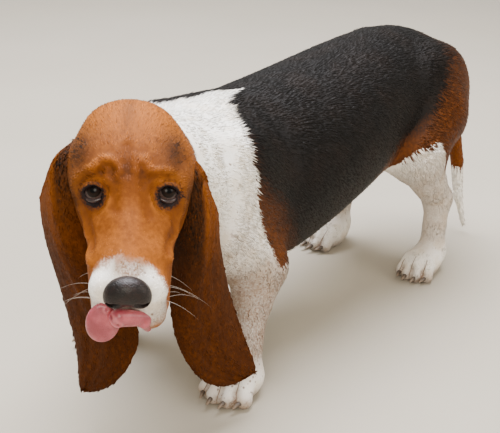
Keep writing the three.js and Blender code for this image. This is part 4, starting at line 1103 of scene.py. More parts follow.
def claw_piece(name, place, toe):
    x, reach, r = toe
    p, faces = turned([(radius, s * CLAW_LENGTH) for radius, s in CLAW_PROFILE], CLAW_SPOKES)
    bend = CLAW_BEND * p[:, 2] / CLAW_LENGTH
    along = p[:, 2] * np.cos(bend / 2) - p[:, 1] * np.sin(bend)
    across = along * np.sin(bend / 2) + p[:, 1] * np.cos(bend)
    turn = (Matrix.Translation((x, r - reach - r * 0.52, r * 0.9))
            @ Matrix.Rotation(math.radians(-x * 0.5), 4, "Z") @ Matrix.Rotation(math.radians(-12), 4, "X")
            @ Matrix.Rotation(math.pi, 4, "X"))
    local = np.stack([p[:, 0], along, across], 1)
    return piece_from(name, placed(place @ turn, local), [f[::-1] for f in faces], dict(own=p / 1000))


claws = {}
for end, legs, toes in (("front", FRONT, FRONT_TOES), ("hind", HIND, HIND_TOES)):
    for side, word in WORD.items():
        for number, toe in enumerate(toes, 1):
            node = f"claw_{end}_{word}_{number}"
            claws[node] = claw_piece("horn_" + node, paw_frame(legs[side]), toe)

# %% [markdown]
# ## Creases between the toes
#
# Where two toes meet, the short hair parts and shows a line of shaded skin. Each line is a thin
# strip that follows the groove, drawn onto the surface of the paw at the height of its hair.

# %% Creases between the toes
HAIR_ON_PAW = 0.9  # how far the paw's hair stands outside its form


def toe_creases():
    points, faces = [], []
    for _, _, way in TOE_GROOVES:
        line = open_curve(way, 20)
        for _ in range(6):
            line = drawn_on(DOG, line, -HAIR_ON_PAW)
        p, f = tube(line, 0.16 + 0.4 * np.sin(np.linspace(0, math.pi, len(line))), 6)
        faces += [tuple(i + len(points) for i in face) for face in f]
        points += p.tolist()
    print(f"toe creases: {len(TOE_GROOVES)} lines")
    return piece_from("toe_creases", np.array(points), faces)


creases = toe_creases()

# %% [markdown]
# ## Whiskers
#
# Whiskers are stiff, pale, tapered hairs that grow in rows on the flews. Each is a thin tube
# along a drooping curve.

# %% Whiskers on the flews
# Place in the head's frame, and size
WHISKER_ROOTS = ((33, -92, -30, 0.9), (36, -84, -38, 1.0), (33, -104, -36, 0.8), (36, -96, -46, 1.0),
                 (36, -84, -56, 0.7), (34, -76, -30, 0.8))
WHISKER_SEED = 20


def whiskers(side):
    points, faces = [], []
    rng = np.random.default_rng(WHISKER_SEED + side)
    for x, y, z, size in WHISKER_ROOTS:
        root = np.array((side * x, y, z), float)
        root = in_frame(HEAD, drawn_on(DOG, placed(HEAD, root[None]), 1.0))[0]
        reach = size * rng.uniform(38, 56)
        way = np.array((side * rng.uniform(0.6, 1.0), rng.uniform(-0.35, 0.45), rng.uniform(-0.35, 0.2)))
        t = np.linspace(0, 1, 9)[:, None]
        line = root + way * reach * t + np.array((0, -0.3, -0.95)) * reach * 0.45 * t ** 2
        line[0] -= way * 2
        p, f = tube(line, 0.19 * (1 - np.linspace(0, 1, 9)) + 0.04, 5)
        faces += [tuple(i + len(points) for i in face) for face in f]
        points += p.tolist()
    return piece_from("whiskers_" + WORD[side], placed(HEAD, np.array(points)), faces)


whisker_pieces = {side: whiskers(side) for side in SIDES}

# %% [markdown]
# ## Materials
#
# Every colour below is an sRGB hex value, turned to linear light by one function. One helper
# adds a node with its settings and links. Skin and hair share one material, because they share
# their markings.

# %% Colours and the node helper
def linear(hex_colour):
    parts_of = [int(hex_colour[i:i + 2], 16) / 255 for i in (1, 3, 5)]
    return [c / 12.92 if c <= 0.04045 else ((c + 0.055) / 1.055) ** 2.4 for c in parts_of] + [1.0]


def add(tree, kind, links=None, **settings):
    """Adds a node, sets its options, and fills or links its inputs."""
    node = tree.nodes.new(kind)
    for name, value in settings.items():
        setattr(node, name, value)
    for key, value in (links or {}).items():
        socket = node.inputs[key]
        if isinstance(value, bpy.types.NodeSocket):
            tree.links.new(value, socket)
        else:
            socket.default_value = value
    return node


def new_material(name, **base):
    material = bpy.data.materials.new(name)
    material.use_nodes = True
    tree = material.node_tree
    shader = tree.nodes["Principled BSDF"]
    for key, value in base.items():
        shader.inputs[key.replace("_", " ")].default_value = value
    return material, tree, shader


def mix(tree, factor, a, b, blend="MIX"):
    node = add(tree, "ShaderNodeMix", {0: factor, 6: a, 7: b}, data_type="RGBA", blend_type=blend,
               clamp_factor=True)
    return node.outputs[2]


def math_of(tree, operation, a, b=0.0, c=0.0):
    return add(tree, "ShaderNodeMath", {0: a, 1: b, 2: c}, operation=operation).outputs[0]


def field_of(tree, name, output="Fac"):
    return add(tree, "ShaderNodeAttribute", attribute_name=name).outputs[output]


def noise_of(tree, place, scale, detail=2.0):
    return add(tree, "ShaderNodeTexNoise", {"Vector": place, "Scale": scale, "Detail": detail}).outputs["Fac"]


def paint(tree, shader, colour, bump=None):
    """Links a colour, and a bump if there is one, to the shader."""
    tree.links.new(colour, shader.inputs["Base Color"])
    if bump:
        tree.links.new(bump.outputs["Normal"], shader.inputs["Normal"])


def border(tree, value, low, high):
    """A soft step from 0 at low to 1 at high."""
    return add(tree, "ShaderNodeMapRange", {"Value": value, "From Min": low, "From Max": high},
               interpolation_type="SMOOTHSTEP").outputs["Result"]


# %% [markdown]
# Short hair: each hair is a smooth scale-covered fibre, so the coat shines along its lie. White
# hair lets the skin shimmer through, black hair is glossy with a warm brown cast in the sun, and
# the brown ranges from sandy orange on the crown to dark chestnut on the ears. The material draws
# soft borders, single flecks of ticking, and tufts that are darker at the root than at the tip.

# %% Short hair
WHITE = "#fbf7ee"
WHITE_SHADE = "#efe4d2"
BLACK = "#0f0c0a"
BLACK_WARM = "#231811"
SAND = "#a15b18"
BROWN = "#743b02"
CHESTNUT = "#3f1c00"
HAZE_AND_SHADE = "#1a0f06"
LEATHER = "#1f1719"
TICK = "#6a4c36"
STAIN_AND_SHADE = "#704c2e"
WET_RIM_HIGHLIGHT = "#4f4448"


def coat_material(name, roughness, hair, shine=0.15):
    material, tree, shader = new_material(name, Roughness=roughness, Specular_IOR_Level=shine)
    root = add(tree, "ShaderNodeAttribute", attribute_name="root").outputs["Vector"]
    noise = lambda scale, detail=2.0: noise_of(tree, root, scale, detail)
    wander = noise(70)  # a border wanders over about 14 mm
    ragged = noise(420)  # and is ragged over a few hairs
    face = field_of(tree, "soft")
    edge = math_of(tree, "ADD", math_of(tree, "MULTIPLY_ADD", wander, 16.0, -8.0),
                   math_of(tree, "MULTIPLY_ADD", ragged, 9.0, -4.5))
    soft = math_of(tree, "MULTIPLY_ADD", ragged, 34.0, -17.0)
    white = math_of(tree, "DIVIDE", math_of(tree, "ADD", field_of(tree, "white"), edge),
                    math_of(tree, "MULTIPLY_ADD", face, 5.0, 1.0))
    white = border(tree, white, -1.2, 1.2)
    black = border(tree, math_of(tree, "ADD", field_of(tree, "black"), soft), -14.0, 10.0)
    # the depth of brown also carries the painted shade and light of the folds and of the ears' ridges
    rust_and_shade = math_of(tree, "ADD", field_of(tree, "rust_and_shade"), math_of(tree, "MULTIPLY_ADD", noise(38), 0.24, -0.12))
    rust_and_shade = math_of(tree, "ADD", rust_and_shade, math_of(tree, "MULTIPLY_ADD", noise(190, 3.0), 0.5, -0.25))
    tan = mix(tree, border(tree, rust_and_shade, 0.0, 0.5), linear(SAND), linear(BROWN))
    tan = mix(tree, border(tree, rust_and_shade, 0.45, 1.0), tan, linear(CHESTNUT))
    grain = field_of(tree, "shade") if hair else ragged
    # dark haze, which on the ears' front panels is partly painted shade
    dusk_and_shade = math_of(tree, "MULTIPLY", field_of(tree, "dusk_and_shade"), math_of(tree, "MULTIPLY_ADD", grain, 1.0, 0.3))
    tan = mix(tree, dusk_and_shade, tan, linear(HAZE_AND_SHADE))
    dark = mix(tree, border(tree, noise(24), 0.35, 0.75), linear(BLACK), linear(BLACK_WARM))
    dark = mix(tree, 0.6, dark, linear(BLACK))
    colour = mix(tree, black, tan, dark)
    pale = mix(tree, border(tree, noise(55), 0.4, 0.75), linear(WHITE), linear(WHITE_SHADE))
    uneven = math_of(tree, "MULTIPLY_ADD", ragged, 1.0, 0.3)
    # tan tinge in the white, which is partly painted shade
    tinge_and_shade = math_of(tree, "MULTIPLY", field_of(tree, "stain_and_shade"), uneven)
    pale = mix(tree, tinge_and_shade, pale, linear(STAIN_AND_SHADE))
    for scale, strength in ((62.0, 0.5), (150.0, 0.8)):  # large faint flecks and small dark ones
        cells = add(tree, "ShaderNodeTexVoronoi", {"Vector": root, "Scale": scale})
        chance = add(tree, "ShaderNodeSeparateColor", {0: cells.outputs["Color"]}).outputs[0]
        shift = math_of(tree, "MULTIPLY_ADD", ragged, 0.3, -0.15)
        rim = math_of(tree, "ADD", cells.outputs["Distance"], shift)
        fleck = math_of(tree, "MULTIPLY", border(tree, rim, 0.3, 0.12), border(
            tree, math_of(tree, "MULTIPLY_ADD", field_of(tree, "tick"), 0.5, chance), 1.0, 1.02))
        pale = mix(tree, math_of(tree, "MULTIPLY", fleck, strength), pale, linear(TICK))
    colour = mix(tree, white, colour, pale)
    patch = math_of(tree, "ADD", field_of(tree, "dark"), math_of(tree, "MULTIPLY_ADD", ragged, 0.9, -0.45))
    colour = mix(tree, border(tree, patch, 0.25, 0.7), colour, linear(LEATHER))
    # Each tuft has its own shade, and is darker at its root than at its tip.
    if hair:
        leaf = add(tree, "ShaderNodeSeparateXYZ",
                   {0: add(tree, "ShaderNodeAttribute", attribute_name="leaf").outputs["Vector"]}).outputs[1]
        range_of = math_of(tree, "MULTIPLY_ADD", white, -0.2, math_of(tree, "MULTIPLY_ADD", face, 0.5, 0.36))
        centred = math_of(tree, "ADD", field_of(tree, "shade"), -0.5)
        own = math_of(tree, "MULTIPLY_ADD", centred, range_of, 0.97)
        tone = math_of(tree, "MULTIPLY", own, math_of(tree, "MULTIPLY_ADD", leaf, 0.18, 0.9))
    else:
        tone = math_of(tree, "MULTIPLY_ADD", ragged, 0.36, math_of(tree, "MULTIPLY_ADD", white, 0.12, 0.68))
        bump = add(tree, "ShaderNodeBump", {"Height": noise(900, 3.0), "Distance": 0.0006, "Strength": 0.7})
    grey = add(tree, "ShaderNodeCombineColor", {0: tone, 1: tone, 2: tone}).outputs[0]
    paint(tree, shader, mix(tree, 1.0, colour, grey, "MULTIPLY"), None if hair else bump)
    return material


SKIN_MATERIAL = coat_material("skin under short hair", 0.65, False)
HAIR_MATERIAL = coat_material("short glossy dog hair", 0.5, True)
EAR_SKIN_MATERIAL = coat_material("ear leather under fine hair", 0.7, False, 0.08)
EAR_HAIR_MATERIAL = coat_material("fine soft ear hair", 0.62, True, 0.08)

# %% [markdown]
# The eye is wet: a clear cornea over a dark brown iris. The clear coat gives the sharp highlight.
# The iris has fine radial fibres and a darker rim, and the white is bloodshot near the corners and painted a
# dark grey-brown, as painted shade under the heavy lids.

# %% Eye, haw and lid rim
def eye_material():
    material, tree, shader = new_material("wet eye", Roughness=0.3, Specular_IOR_Level=0.06, Coat_Weight=0.16,
                                          Coat_Roughness=0.02)
    local = add(tree, "ShaderNodeAttribute", attribute_name="eye").outputs["Vector"]
    split = add(tree, "ShaderNodeSeparateXYZ", {0: local})
    radius = add(tree, "ShaderNodeVectorMath", {0: add(tree, "ShaderNodeCombineXYZ", {
        0: split.outputs[0], 1: split.outputs[1]}).outputs[0]}, operation="LENGTH").outputs["Value"]
    angle = math_of(tree, "ARCTAN2", split.outputs[1], split.outputs[0])
    spread = add(tree, "ShaderNodeCombineXYZ", {
        0: math_of(tree, "MULTIPLY", angle, 9.0), 1: math_of(tree, "MULTIPLY", radius, 0.35)}).outputs[0]
    fibre = noise_of(tree, spread, 1.0, 3.0)
    iris = mix(tree, fibre, linear("#0b0402"), linear("#1e0f06"))
    iris = mix(tree, border(tree, radius, 5.6, 7.8), iris, linear("#0d0603"))
    iris = mix(tree, border(tree, radius, 4.0, 3.4), iris, linear("#020202"))
    vein = border(tree, noise_of(tree, local, 0.9, 4.0), 0.48, 0.62)
    # painted shade: the white of the eye is a dark grey-brown, as in the shadow of brow and lids
    shaded_sclera = mix(tree, math_of(tree, "MULTIPLY", vein, 0.6), linear("#463a37"), linear("#2c1513"))
    front = border(tree, split.outputs[2], 0.0, 1.0)
    colour = mix(tree, math_of(tree, "MULTIPLY", border(tree, radius, 8.3, 7.7), front), shaded_sclera, iris)
    paint(tree, shader, colour)
    return material


def haw_material():
    material, tree, shader = new_material(
        "wet dark haw", Roughness=0.4, Coat_Weight=0.22, Coat_Roughness=0.06, Subsurface_Weight=0.15,
        Subsurface_Scale=0.002)
    place = add(tree, "ShaderNodeTexCoord").outputs["Object"]
    vein = border(tree, noise_of(tree, place, 700.0, 3.0), 0.35, 0.65)
    paint(tree, shader, mix(tree, vein, linear("#170d0f"), linear("#38211f")))
    return material


def lid_material():
    """Black leather at the rim, wet and smooth, that passes into the haired skin, with a lighter line painted
    on the lower rim as the highlight of its wet edge.
    """
    material = coat_material("lid leather and short hair", 0.5, False)
    tree = material.node_tree
    shader = tree.nodes["Principled BSDF"]
    wetness = math_of(tree, "MULTIPLY_ADD", field_of(tree, "rim"), -0.28, 0.55)
    tree.links.new(wetness, shader.inputs["Roughness"])
    haired = shader.inputs["Base Color"].links[0].from_socket
    # a painted highlight along the lower lid's wet edge
    paint(tree, shader, mix(tree, field_of(tree, "wet"), haired, linear(WET_RIM_HIGHLIGHT)))
    return material


# %% [markdown]
# The nose is bare leather in small pebbles of about 1.4 mm, moist, so that it shows a soft broad
# highlight. The tongue is wet muscle, pink, covered with papillae of under a millimetre. A claw
# is horn: layered, dull and paler towards its tip, with fine length-wise growth lines.

# %% Nose, tongue, claw and whisker
def nose_material():
    material, tree, shader = new_material("moist nose leather", Roughness=0.42, Specular_IOR_Level=0.28,
                                          Coat_Weight=0.08, Coat_Roughness=0.2)
    own = add(tree, "ShaderNodeAttribute", attribute_name="own").outputs["Vector"]
    pebble = add(tree, "ShaderNodeTexVoronoi", {"Vector": own, "Scale": 700.0}, feature="SMOOTH_F1")
    pebble.inputs["Smoothness"].default_value = 0.35
    tone = border(tree, noise_of(tree, own, 90.0), 0.35, 0.7)
    colour = mix(tree, tone, linear("#100806"), linear("#20120e"))
    colour = mix(tree, border(tree, pebble.outputs["Distance"], 0.45, 0.9), colour, linear("#0b0706"))
    bump = add(tree, "ShaderNodeBump", {
        "Height": pebble.outputs["Distance"], "Distance": 0.0005, "Strength": 0.8}, invert=True)
    paint(tree, shader, colour, bump)
    return material


def tongue_material():
    material, tree, shader = new_material("wet tongue", Roughness=0.3, Coat_Weight=0.35, Coat_Roughness=0.12,
                                          Subsurface_Weight=0.25, Subsurface_Scale=0.004)
    own = add(tree, "ShaderNodeAttribute", attribute_name="own").outputs["Vector"]
    grain = add(tree, "ShaderNodeTexVoronoi", {"Vector": own, "Scale": 1100.0}).outputs["Distance"]
    tone = border(tree, noise_of(tree, own, 70.0, 3.0), 0.3, 0.7)
    colour = mix(tree, tone, linear("#8e323f"), linear("#b5525e"))
    # painted shade in the fold of the tongue
    colour = mix(tree, field_of(tree, "crease"), colour, linear("#5e1622"))
    # painted highlight on the fold's rolled edge
    colour = mix(tree, field_of(tree, "rim"), colour, linear("#d27c83"))
    bump = add(tree, "ShaderNodeBump", {"Height": grain, "Distance": 0.0005, "Strength": 0.7}, invert=True)
    paint(tree, shader, colour, bump)
    return material


def claw_material():
    material, tree, shader = new_material("dull horn", Roughness=0.42)
    own = add(tree, "ShaderNodeAttribute", attribute_name="own").outputs["Vector"]
    split = add(tree, "ShaderNodeSeparateXYZ", {0: own})
    stretched = add(tree, "ShaderNodeVectorMath", {0: own, 1: (2600.0, 2600.0, 160.0)}, operation="MULTIPLY")
    line = noise_of(tree, stretched.outputs["Vector"], 1.0)
    colour = mix(tree, border(tree, split.outputs[2], 0.004, 0.016), linear("#43382f"), linear("#86735f"))
    streak = math_of(tree, "MULTIPLY", border(tree, line, 0.45, 0.7), 0.5)
    colour = mix(tree, streak, colour, linear("#2c2724"))
    bump = add(tree, "ShaderNodeBump", {"Height": line, "Distance": 0.0002, "Strength": 0.5})
    paint(tree, shader, colour, bump)
    return material


def mottled_material(name, roughness, scale, one, other):
    """Two tones, mixed by a soft noise."""
    material, tree, shader = new_material(name, Roughness=roughness)
    place = add(tree, "ShaderNodeTexCoord").outputs["Object"]
    paint(tree, shader, mix(tree, noise_of(tree, place, scale), linear(one), linear(other)))
    return material


for side, word in WORD.items():
    finish_piece(eyes[side], ["eye_" + word], eye_material())
    finish_piece(haws[side], [], haw_material())
    finish_piece(lid_pieces[side], [], lid_material())
    whisker = mottled_material("whisker", 0.3, 60.0, "#b9b0a4", "#857a6e")
    finish_piece(whisker_pieces[side], [], whisker)
finish_piece(nose, ["nose"], nose_material())
finish_piece(tongue, ["tongue"], tongue_material())
finish_piece(creases, [], mottled_material("shaded bare skin", 0.75, 90.0, "#4d3a2c", "#8a6f58"))
horn = claw_material()
for node, piece in claws.items():
    finish_piece(piece, [node], horn)

# %% [markdown]
# ## The coat
#
# The hair of a basset is short, dense and lies flat. A real coat has millions of hairs; here one
# small closed blade stands for a lock of hairs. Geometry Nodes scatter the roots over the skin
# with a fixed seed, turn each blade to the lie of the hair, lift it a little and give it its own
# length. The tufts read the skin's fields at their roots, so the markings carry over.

# %% An unwrap of the skin, and its parts
def unwrapped(piece):
    bpy.ops.object.select_all(action="DESELECT")
    bpy.context.view_layer.objects.active = piece
    piece.select_set(True)
    piece.data.uv_layers.new(name="OFBake")
    bpy.ops.object.mode_set(mode="EDIT")
    bpy.ops.mesh.select_all(action="SELECT")
    bpy.ops.uv.smart_project(angle_limit=math.radians(66), island_margin=0.002)
    bpy.ops.object.mode_set(mode="OBJECT")


unwrapped(skin)
for piece in lid_pieces.values():
    unwrapped(piece)

COAT_PARTS = ("head_left", "head_right", "neck_and_chest", "back_front", "back_rear", "flank_left",
              "flank_right", "foreleg_left", "foreleg_right", "hindleg_left", "hindleg_right", "tail")


def coat_part(p):
    """Which piece of the coat grows at each point."""
    head, fore, hind, tail = parts(p)
    q = in_frame(HEAD, p)
    x, y, z = p.T
    part = np.where(z > 300, np.where(y < 60, 3, 4), np.where(x > 0, 5, 6))
    part = np.where(y < -215, 2, part)
    right = (x < 0).astype(int)
    part = np.where((fore > 0.4) | ((z < 165) & (y < -120)), 7 + right, part)
    part = np.where(tail > 0.5, 11, np.where(hind > 0.4, 9 + right, part))
    return np.where(head > 0.5, np.where(q[:, 0] > 0, 0, 1), part)


centres = points[quads].mean(1)
skin.data.attributes.new("part", "INT", "FACE").data.foreach_set("value", coat_part(centres).astype(np.int32))

# %% One blade: ten triangles, one metre long, one wide
BLADE = (((-0.34, 0, 0), (0.34, 0, 0), (0, 0, 0.5)), ((-0.5, 0.42, 0.25), (0.5, 0.42, 0.25), (0, 0.42, 0.95)),
         (0, 1, 0.1))
blade_points = [*BLADE[0], *BLADE[1], BLADE[2]]
blade_faces = [(0, 2, 1)]
for a, b in ((0, 1), (1, 2), (2, 0)):
    blade_faces += [(a, b, b + 3), (a, b + 3, a + 3), (a + 3, b + 3, 6)]
blade_mesh = bpy.data.meshes.new("blade")
blade_mesh.from_pydata(blade_points, [], blade_faces)
leaf = blade_mesh.attributes.new("leaf", "FLOAT_VECTOR", "POINT")
leaf.data.foreach_set("vector", np.array(blade_points, np.float32).ravel())
blade = bpy.data.objects.new("blade", blade_mesh)
print("one blade:", len(blade_faces), "triangles")


# %% The coat's Geometry Nodes
FLOOR_CLEAR = 0.0004  # how far the lowest hair stays above the floor, in metres
TUFT_PATCH = 0.003  # how large a tuft's patch of the unwrap is


def coat_tree():
    tree = bpy.data.node_groups.new("coat of tufts", "GeometryNodeTree")
    face = tree.interface
    face.new_socket("Skin", in_out="INPUT", socket_type="NodeSocketGeometry")
    for name, kind, value in (("Blade", "Object", None), ("Part", "Int", 0), ("Seed", "Int", 1),
                              ("Lift", "Float", 0.11), ("Spread", "Float", 0.2),
                              ("Width share", "Float", 0.8), ("Thickness share", "Float", 0.22),
                              ("Sink", "Float", 0.0006), ("Hair", "Material", None)):
        socket = face.new_socket(name, in_out="INPUT", socket_type="NodeSocket" + kind)
        if value is not None:
            socket.default_value = value
    face.new_socket("Coat", in_out="OUTPUT", socket_type="NodeSocketGeometry")
    given = add(tree, "NodeGroupInput").outputs
    named = lambda name, kind="FLOAT": add(tree, "GeometryNodeInputNamedAttribute", {"Name": name},
                                           data_type=kind).outputs["Attribute"]
    sums = lambda operation, a, b=0.0: add(
        tree, "ShaderNodeMath", {0: a, 1: b}, operation=operation).outputs[0]
    chance = lambda low, high, offset: add(tree, "FunctionNodeRandomValue", {
        "Min": low, "Max": high, "Seed": sums("ADD", given["Seed"], offset)},
        data_type="FLOAT").outputs["Value"]
    metres_apart = sums("DIVIDE", named("spacing"), 1000.0)
    density = sums("DIVIDE", 1.0, sums("MULTIPLY", metres_apart, metres_apart))
    here = add(tree, "FunctionNodeCompare", {"A": named("part", "INT"), "B": given["Part"]},
               data_type="INT", operation="EQUAL").outputs["Result"]
    scatter = add(tree, "GeometryNodeDistributePointsOnFaces",
                  {"Mesh": given["Skin"], "Selection": here, "Density": density, "Seed": given["Seed"]},
                  distribute_method="RANDOM")
    stored = scatter.outputs["Points"]
    for name, kind, value in (("root", "FLOAT_VECTOR", add(tree, "GeometryNodeInputPosition").outputs[0]),
                              ("shade", "FLOAT", chance(0.0, 1.0, 7))):
        stored = add(tree, "GeometryNodeStoreNamedAttribute", {
            "Geometry": stored, "Name": name, "Value": value}, data_type=kind, domain="POINT").outputs[0]
    upright = add(tree, "FunctionNodeAlignRotationToVector", {"Vector": scatter.outputs["Normal"]}, axis="Z")
    along = add(tree, "FunctionNodeAlignRotationToVector", {
        "Rotation": upright.outputs[0], "Vector": named("lie", "FLOAT_VECTOR")}, axis="Y", pivot_axis="Z")
    lean = add(tree, "ShaderNodeCombineXYZ", {
        0: sums("MULTIPLY", given["Lift"], chance(0.4, 1.5, 11)),
        1: sums("MULTIPLY", given["Spread"], chance(-1.0, 1.0, 12)),
        2: sums("MULTIPLY", given["Spread"], chance(-1.0, 1.0, 13))})
    leaning = add(tree, "FunctionNodeEulerToRotation", {0: lean.outputs[0]})
    turned_to = add(tree, "FunctionNodeRotateRotation", {0: along.outputs[0], 1: leaning.outputs[0]},
                    rotation_space="LOCAL")
    long = sums("MULTIPLY", sums("DIVIDE", named("length"), 1000.0), chance(0.65, 1.2, 14))
    wide = sums("MULTIPLY", sums("MULTIPLY", metres_apart, given["Width share"]), chance(0.75, 1.25, 15))
    thick = sums("MULTIPLY", wide, given["Thickness share"])
    size = add(tree, "ShaderNodeCombineXYZ", {0: wide, 1: long, 2: thick})
    inward = add(tree, "ShaderNodeVectorMath", {
        0: scatter.outputs["Normal"], "Scale": sums("MULTIPLY", given["Sink"], -1.0)}, operation="SCALE")
    sunk = add(tree, "GeometryNodeSetPosition", {"Geometry": stored, "Offset": inward.outputs[0]})
    info = add(tree, "GeometryNodeObjectInfo", {"Object": given["Blade"]})
    tufts = add(tree, "GeometryNodeInstanceOnPoints", {
        "Points": sunk.outputs[0], "Instance": info.outputs["Geometry"], "Rotation": turned_to.outputs[0],
        "Scale": size.outputs[0]})
    solid = add(tree, "GeometryNodeRealizeInstances", {"Geometry": tufts.outputs[0]})
    # No hair goes through the floor.
    at = add(tree, "ShaderNodeSeparateXYZ", {0: add(tree, "GeometryNodeInputPosition").outputs[0]}).outputs
    above = add(tree, "ShaderNodeCombineXYZ", {0: at[0], 1: at[1], 2: sums("MAXIMUM", at[2], FLOOR_CLEAR)})
    solid = add(tree, "GeometryNodeSetPosition", {"Geometry": solid.outputs[0], "Position": above.outputs[0]})
    patch = add(tree, "ShaderNodeVectorMath", {
        0: add(tree, "ShaderNodeVectorMath", {0: named("leaf", "FLOAT_VECTOR"), "Scale": TUFT_PATCH},
               operation="SCALE").outputs[0], 1: named("OFBake", "FLOAT_VECTOR")}, operation="ADD")
    mapped = add(tree, "GeometryNodeStoreNamedAttribute", {
        "Geometry": solid.outputs[0], "Name": "OFBake", "Value": patch.outputs[0]},
        data_type="FLOAT2", domain="CORNER")
    smoothed = add(tree, "GeometryNodeSetShadeSmooth", {"Geometry": mapped.outputs[0]})
    finished = add(tree, "GeometryNodeSetMaterial", {
        "Geometry": smoothed.outputs[0], "Material": given["Hair"]})
    add(tree, "NodeGroupOutput", {0: finished.outputs[0]})
    return tree


COAT_TREE = coat_tree()
SOCKETS = {item.name: item.identifier for item in COAT_TREE.interface.items_tree if item.in_out == "INPUT"}


# %% Growing the coat, piece by piece
def grow(name, base, part, seed, lift, spread, material):
    holder = bpy.data.objects.new("holder", base.data)
    bpy.context.scene.collection.objects.link(holder)
    modifier = holder.modifiers.new("coat", "NODES")
    modifier.node_group = COAT_TREE
    for key, value in (("Blade", blade), ("Part", part), ("Seed", seed), ("Lift", lift),
                       ("Spread", spread), ("Hair", material)):
        modifier[SOCKETS[key]] = value
    ready = holder.evaluated_get(bpy.context.evaluated_depsgraph_get())
    mesh = bpy.data.meshes.new_from_object(ready, preserve_all_data_layers=True,
                                           depsgraph=bpy.context.evaluated_depsgraph_get())
    bpy.data.objects.remove(holder)
    mesh.name = name
    piece = bpy.data.objects.new(name, mesh)
    bpy.context.scene.collection.objects.link(piece)
    print(name, len(mesh.polygons), "triangles,", [a.name for a in mesh.uv_layers])
    return piece


for piece in ears.values():
    piece.data.attributes.new("part", "INT", "FACE")
COAT_SEED, EAR_SEED = 100, 200
SKIN_NODES = ["head", "neck", "torso", "tail"] + [
    f"{part}_{end}_{word}"
    for part in ("leg", "paw") for end in ("front", "hind") for word in ("left", "right")]
finish_piece(skin, SKIN_NODES, SKIN_MATERIAL)
# How far the tufts lift off the skin and how much they scatter, in radians
HEAD_LIFT, BODY_LIFT, EAR_LIFT = (0.1, 0.2), (0.09, 0.13), (0.08, 0.2)
tufts_of = {}
for number, word in enumerate(COAT_PARTS):
    lift, spread = HEAD_LIFT if word.startswith("head") else BODY_LIFT
    tufts_of[word] = grow("coat_" + word, skin, number, COAT_SEED + number, lift, spread, HAIR_MATERIAL)
for side, word in WORD.items():
    finish_piece(ears[side], ["ear_" + word], EAR_SKIN_MATERIAL)
    tufts_of["ear_" + word] = grow(
        "coat_ear_" + word, ears[side], 0, EAR_SEED + side, *EAR_LIFT, EAR_HAIR_MATERIAL)
for piece in tufts_of.values():
    finish_piece(piece, [], None)
print("coat:", sum(len(p.data.polygons) for p in tufts_of.values()), "triangles in all")

# %% [markdown]
# ## Stage, light and camera
#
# A plain pale floor, a large soft light overhead like an open sky, a weaker one from the front,
# and a camera where the photograph was taken from: above the hound's head, looking down along it.

# %% Floor and world
WORLD_COLOUR, WORLD_STRENGTH = "#e6e3dc", 0.8
FLOOR_REACH = 20
FLOOR_FADES = (1.6, 7.0)  # from the hound, in metres, into the backdrop's colour


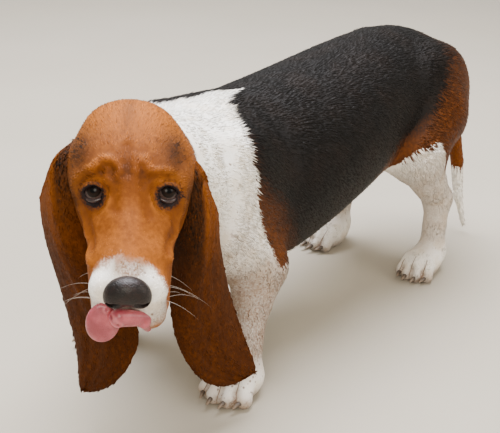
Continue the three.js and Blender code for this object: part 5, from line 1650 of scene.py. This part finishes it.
def floor():
    """A pale matt floor that passes into the backdrop a few metres away, so no edge shows."""
    material, tree, shader = new_material("pale matt floor", Roughness=0.9, Specular_IOR_Level=0.2)
    place = add(tree, "ShaderNodeTexCoord").outputs["Object"]
    paint(tree, shader, mix(tree, noise_of(tree, place, 3.0, 3.0), linear("#aaa292"), linear("#b4ac9d")))
    away = add(tree, "ShaderNodeVectorMath", {0: place}, operation="LENGTH").outputs["Value"]
    glow = add(tree, "ShaderNodeEmission", {"Color": linear(WORLD_COLOUR), "Strength": WORLD_STRENGTH})
    faded = add(tree, "ShaderNodeMixShader", {
        0: border(tree, away, *FLOOR_FADES), 1: shader.outputs[0], 2: glow.outputs[0]})
    tree.links.new(faded.outputs[0], tree.nodes["Material Output"].inputs["Surface"])
    mesh = bpy.data.meshes.new("floor")
    corners = [(x * FLOOR_REACH, y * FLOOR_REACH, 0) for x, y in ((-1, -1), (1, -1), (1, 1), (-1, 1))]
    mesh.from_pydata(corners, [], [(0, 1, 2, 3)])
    mesh.materials.append(material)
    sheet = bpy.data.objects.new("floor", mesh)
    bpy.context.scene.collection.objects.link(sheet)


floor()
world = bpy.data.worlds.new("studio")
world.use_nodes = True
world.node_tree.nodes["Background"].inputs["Color"].default_value = linear(WORLD_COLOUR)
world.node_tree.nodes["Background"].inputs["Strength"].default_value = WORLD_STRENGTH
bpy.context.scene.world = world


# %% Soft lights
def soft_light(name, place, towards, size, power, colour):
    lamp = bpy.data.lights.new(name, "AREA")
    lamp.shape, lamp.size, lamp.energy = "DISK", size, power
    lamp.color = linear(colour)[:3]
    holder = bpy.data.objects.new(name, lamp)
    holder.location = place
    holder.rotation_euler = (Vector(towards) - Vector(place)).to_track_quat("-Z", "Y").to_euler()
    bpy.context.scene.collection.objects.link(holder)


soft_light("sky", (-0.5, 0.2, 2.6), (0, 0, 0.2), 2.4, 270, "#f6f7ff")
soft_light("front", (1.6, -2.2, 1.7), (0, -0.2, 0.25), 1.6, 62, "#fff4e4")
soft_light("left", (2.4, 1.0, 1.4), (0, 0, 0.25), 1.6, 34, "#fff6ea")

# %% The camera
CAMERA_AT = (0.890, -1.165, 0.766)
FOCAL_PIXELS, PHOTO_WIDTH = 1100, 500
CAMERA_AZIMUTH, CAMERA_ELEVATION, CAMERA_ROLL = (math.radians(v) for v in (39.9, 23.3, 1.9))
lens = bpy.data.cameras.new("camera")
lens.sensor_width, lens.lens = 36, 36 * FOCAL_PIXELS / PHOTO_WIDTH
camera = bpy.data.objects.new("camera", lens)
back = Vector((math.sin(CAMERA_AZIMUTH) * math.cos(CAMERA_ELEVATION),
               -math.cos(CAMERA_AZIMUTH) * math.cos(CAMERA_ELEVATION), math.sin(CAMERA_ELEVATION)))
camera.location = Vector(CAMERA_AT) + Vector(SHIFT)
camera.rotation_mode = "QUATERNION"
camera.rotation_quaternion = (-back).to_track_quat("-Z", "Y") @ Matrix.Rotation(
    CAMERA_ROLL, 4, "Z").to_quaternion()
bpy.context.scene.collection.objects.link(camera)
bpy.context.scene.camera = camera
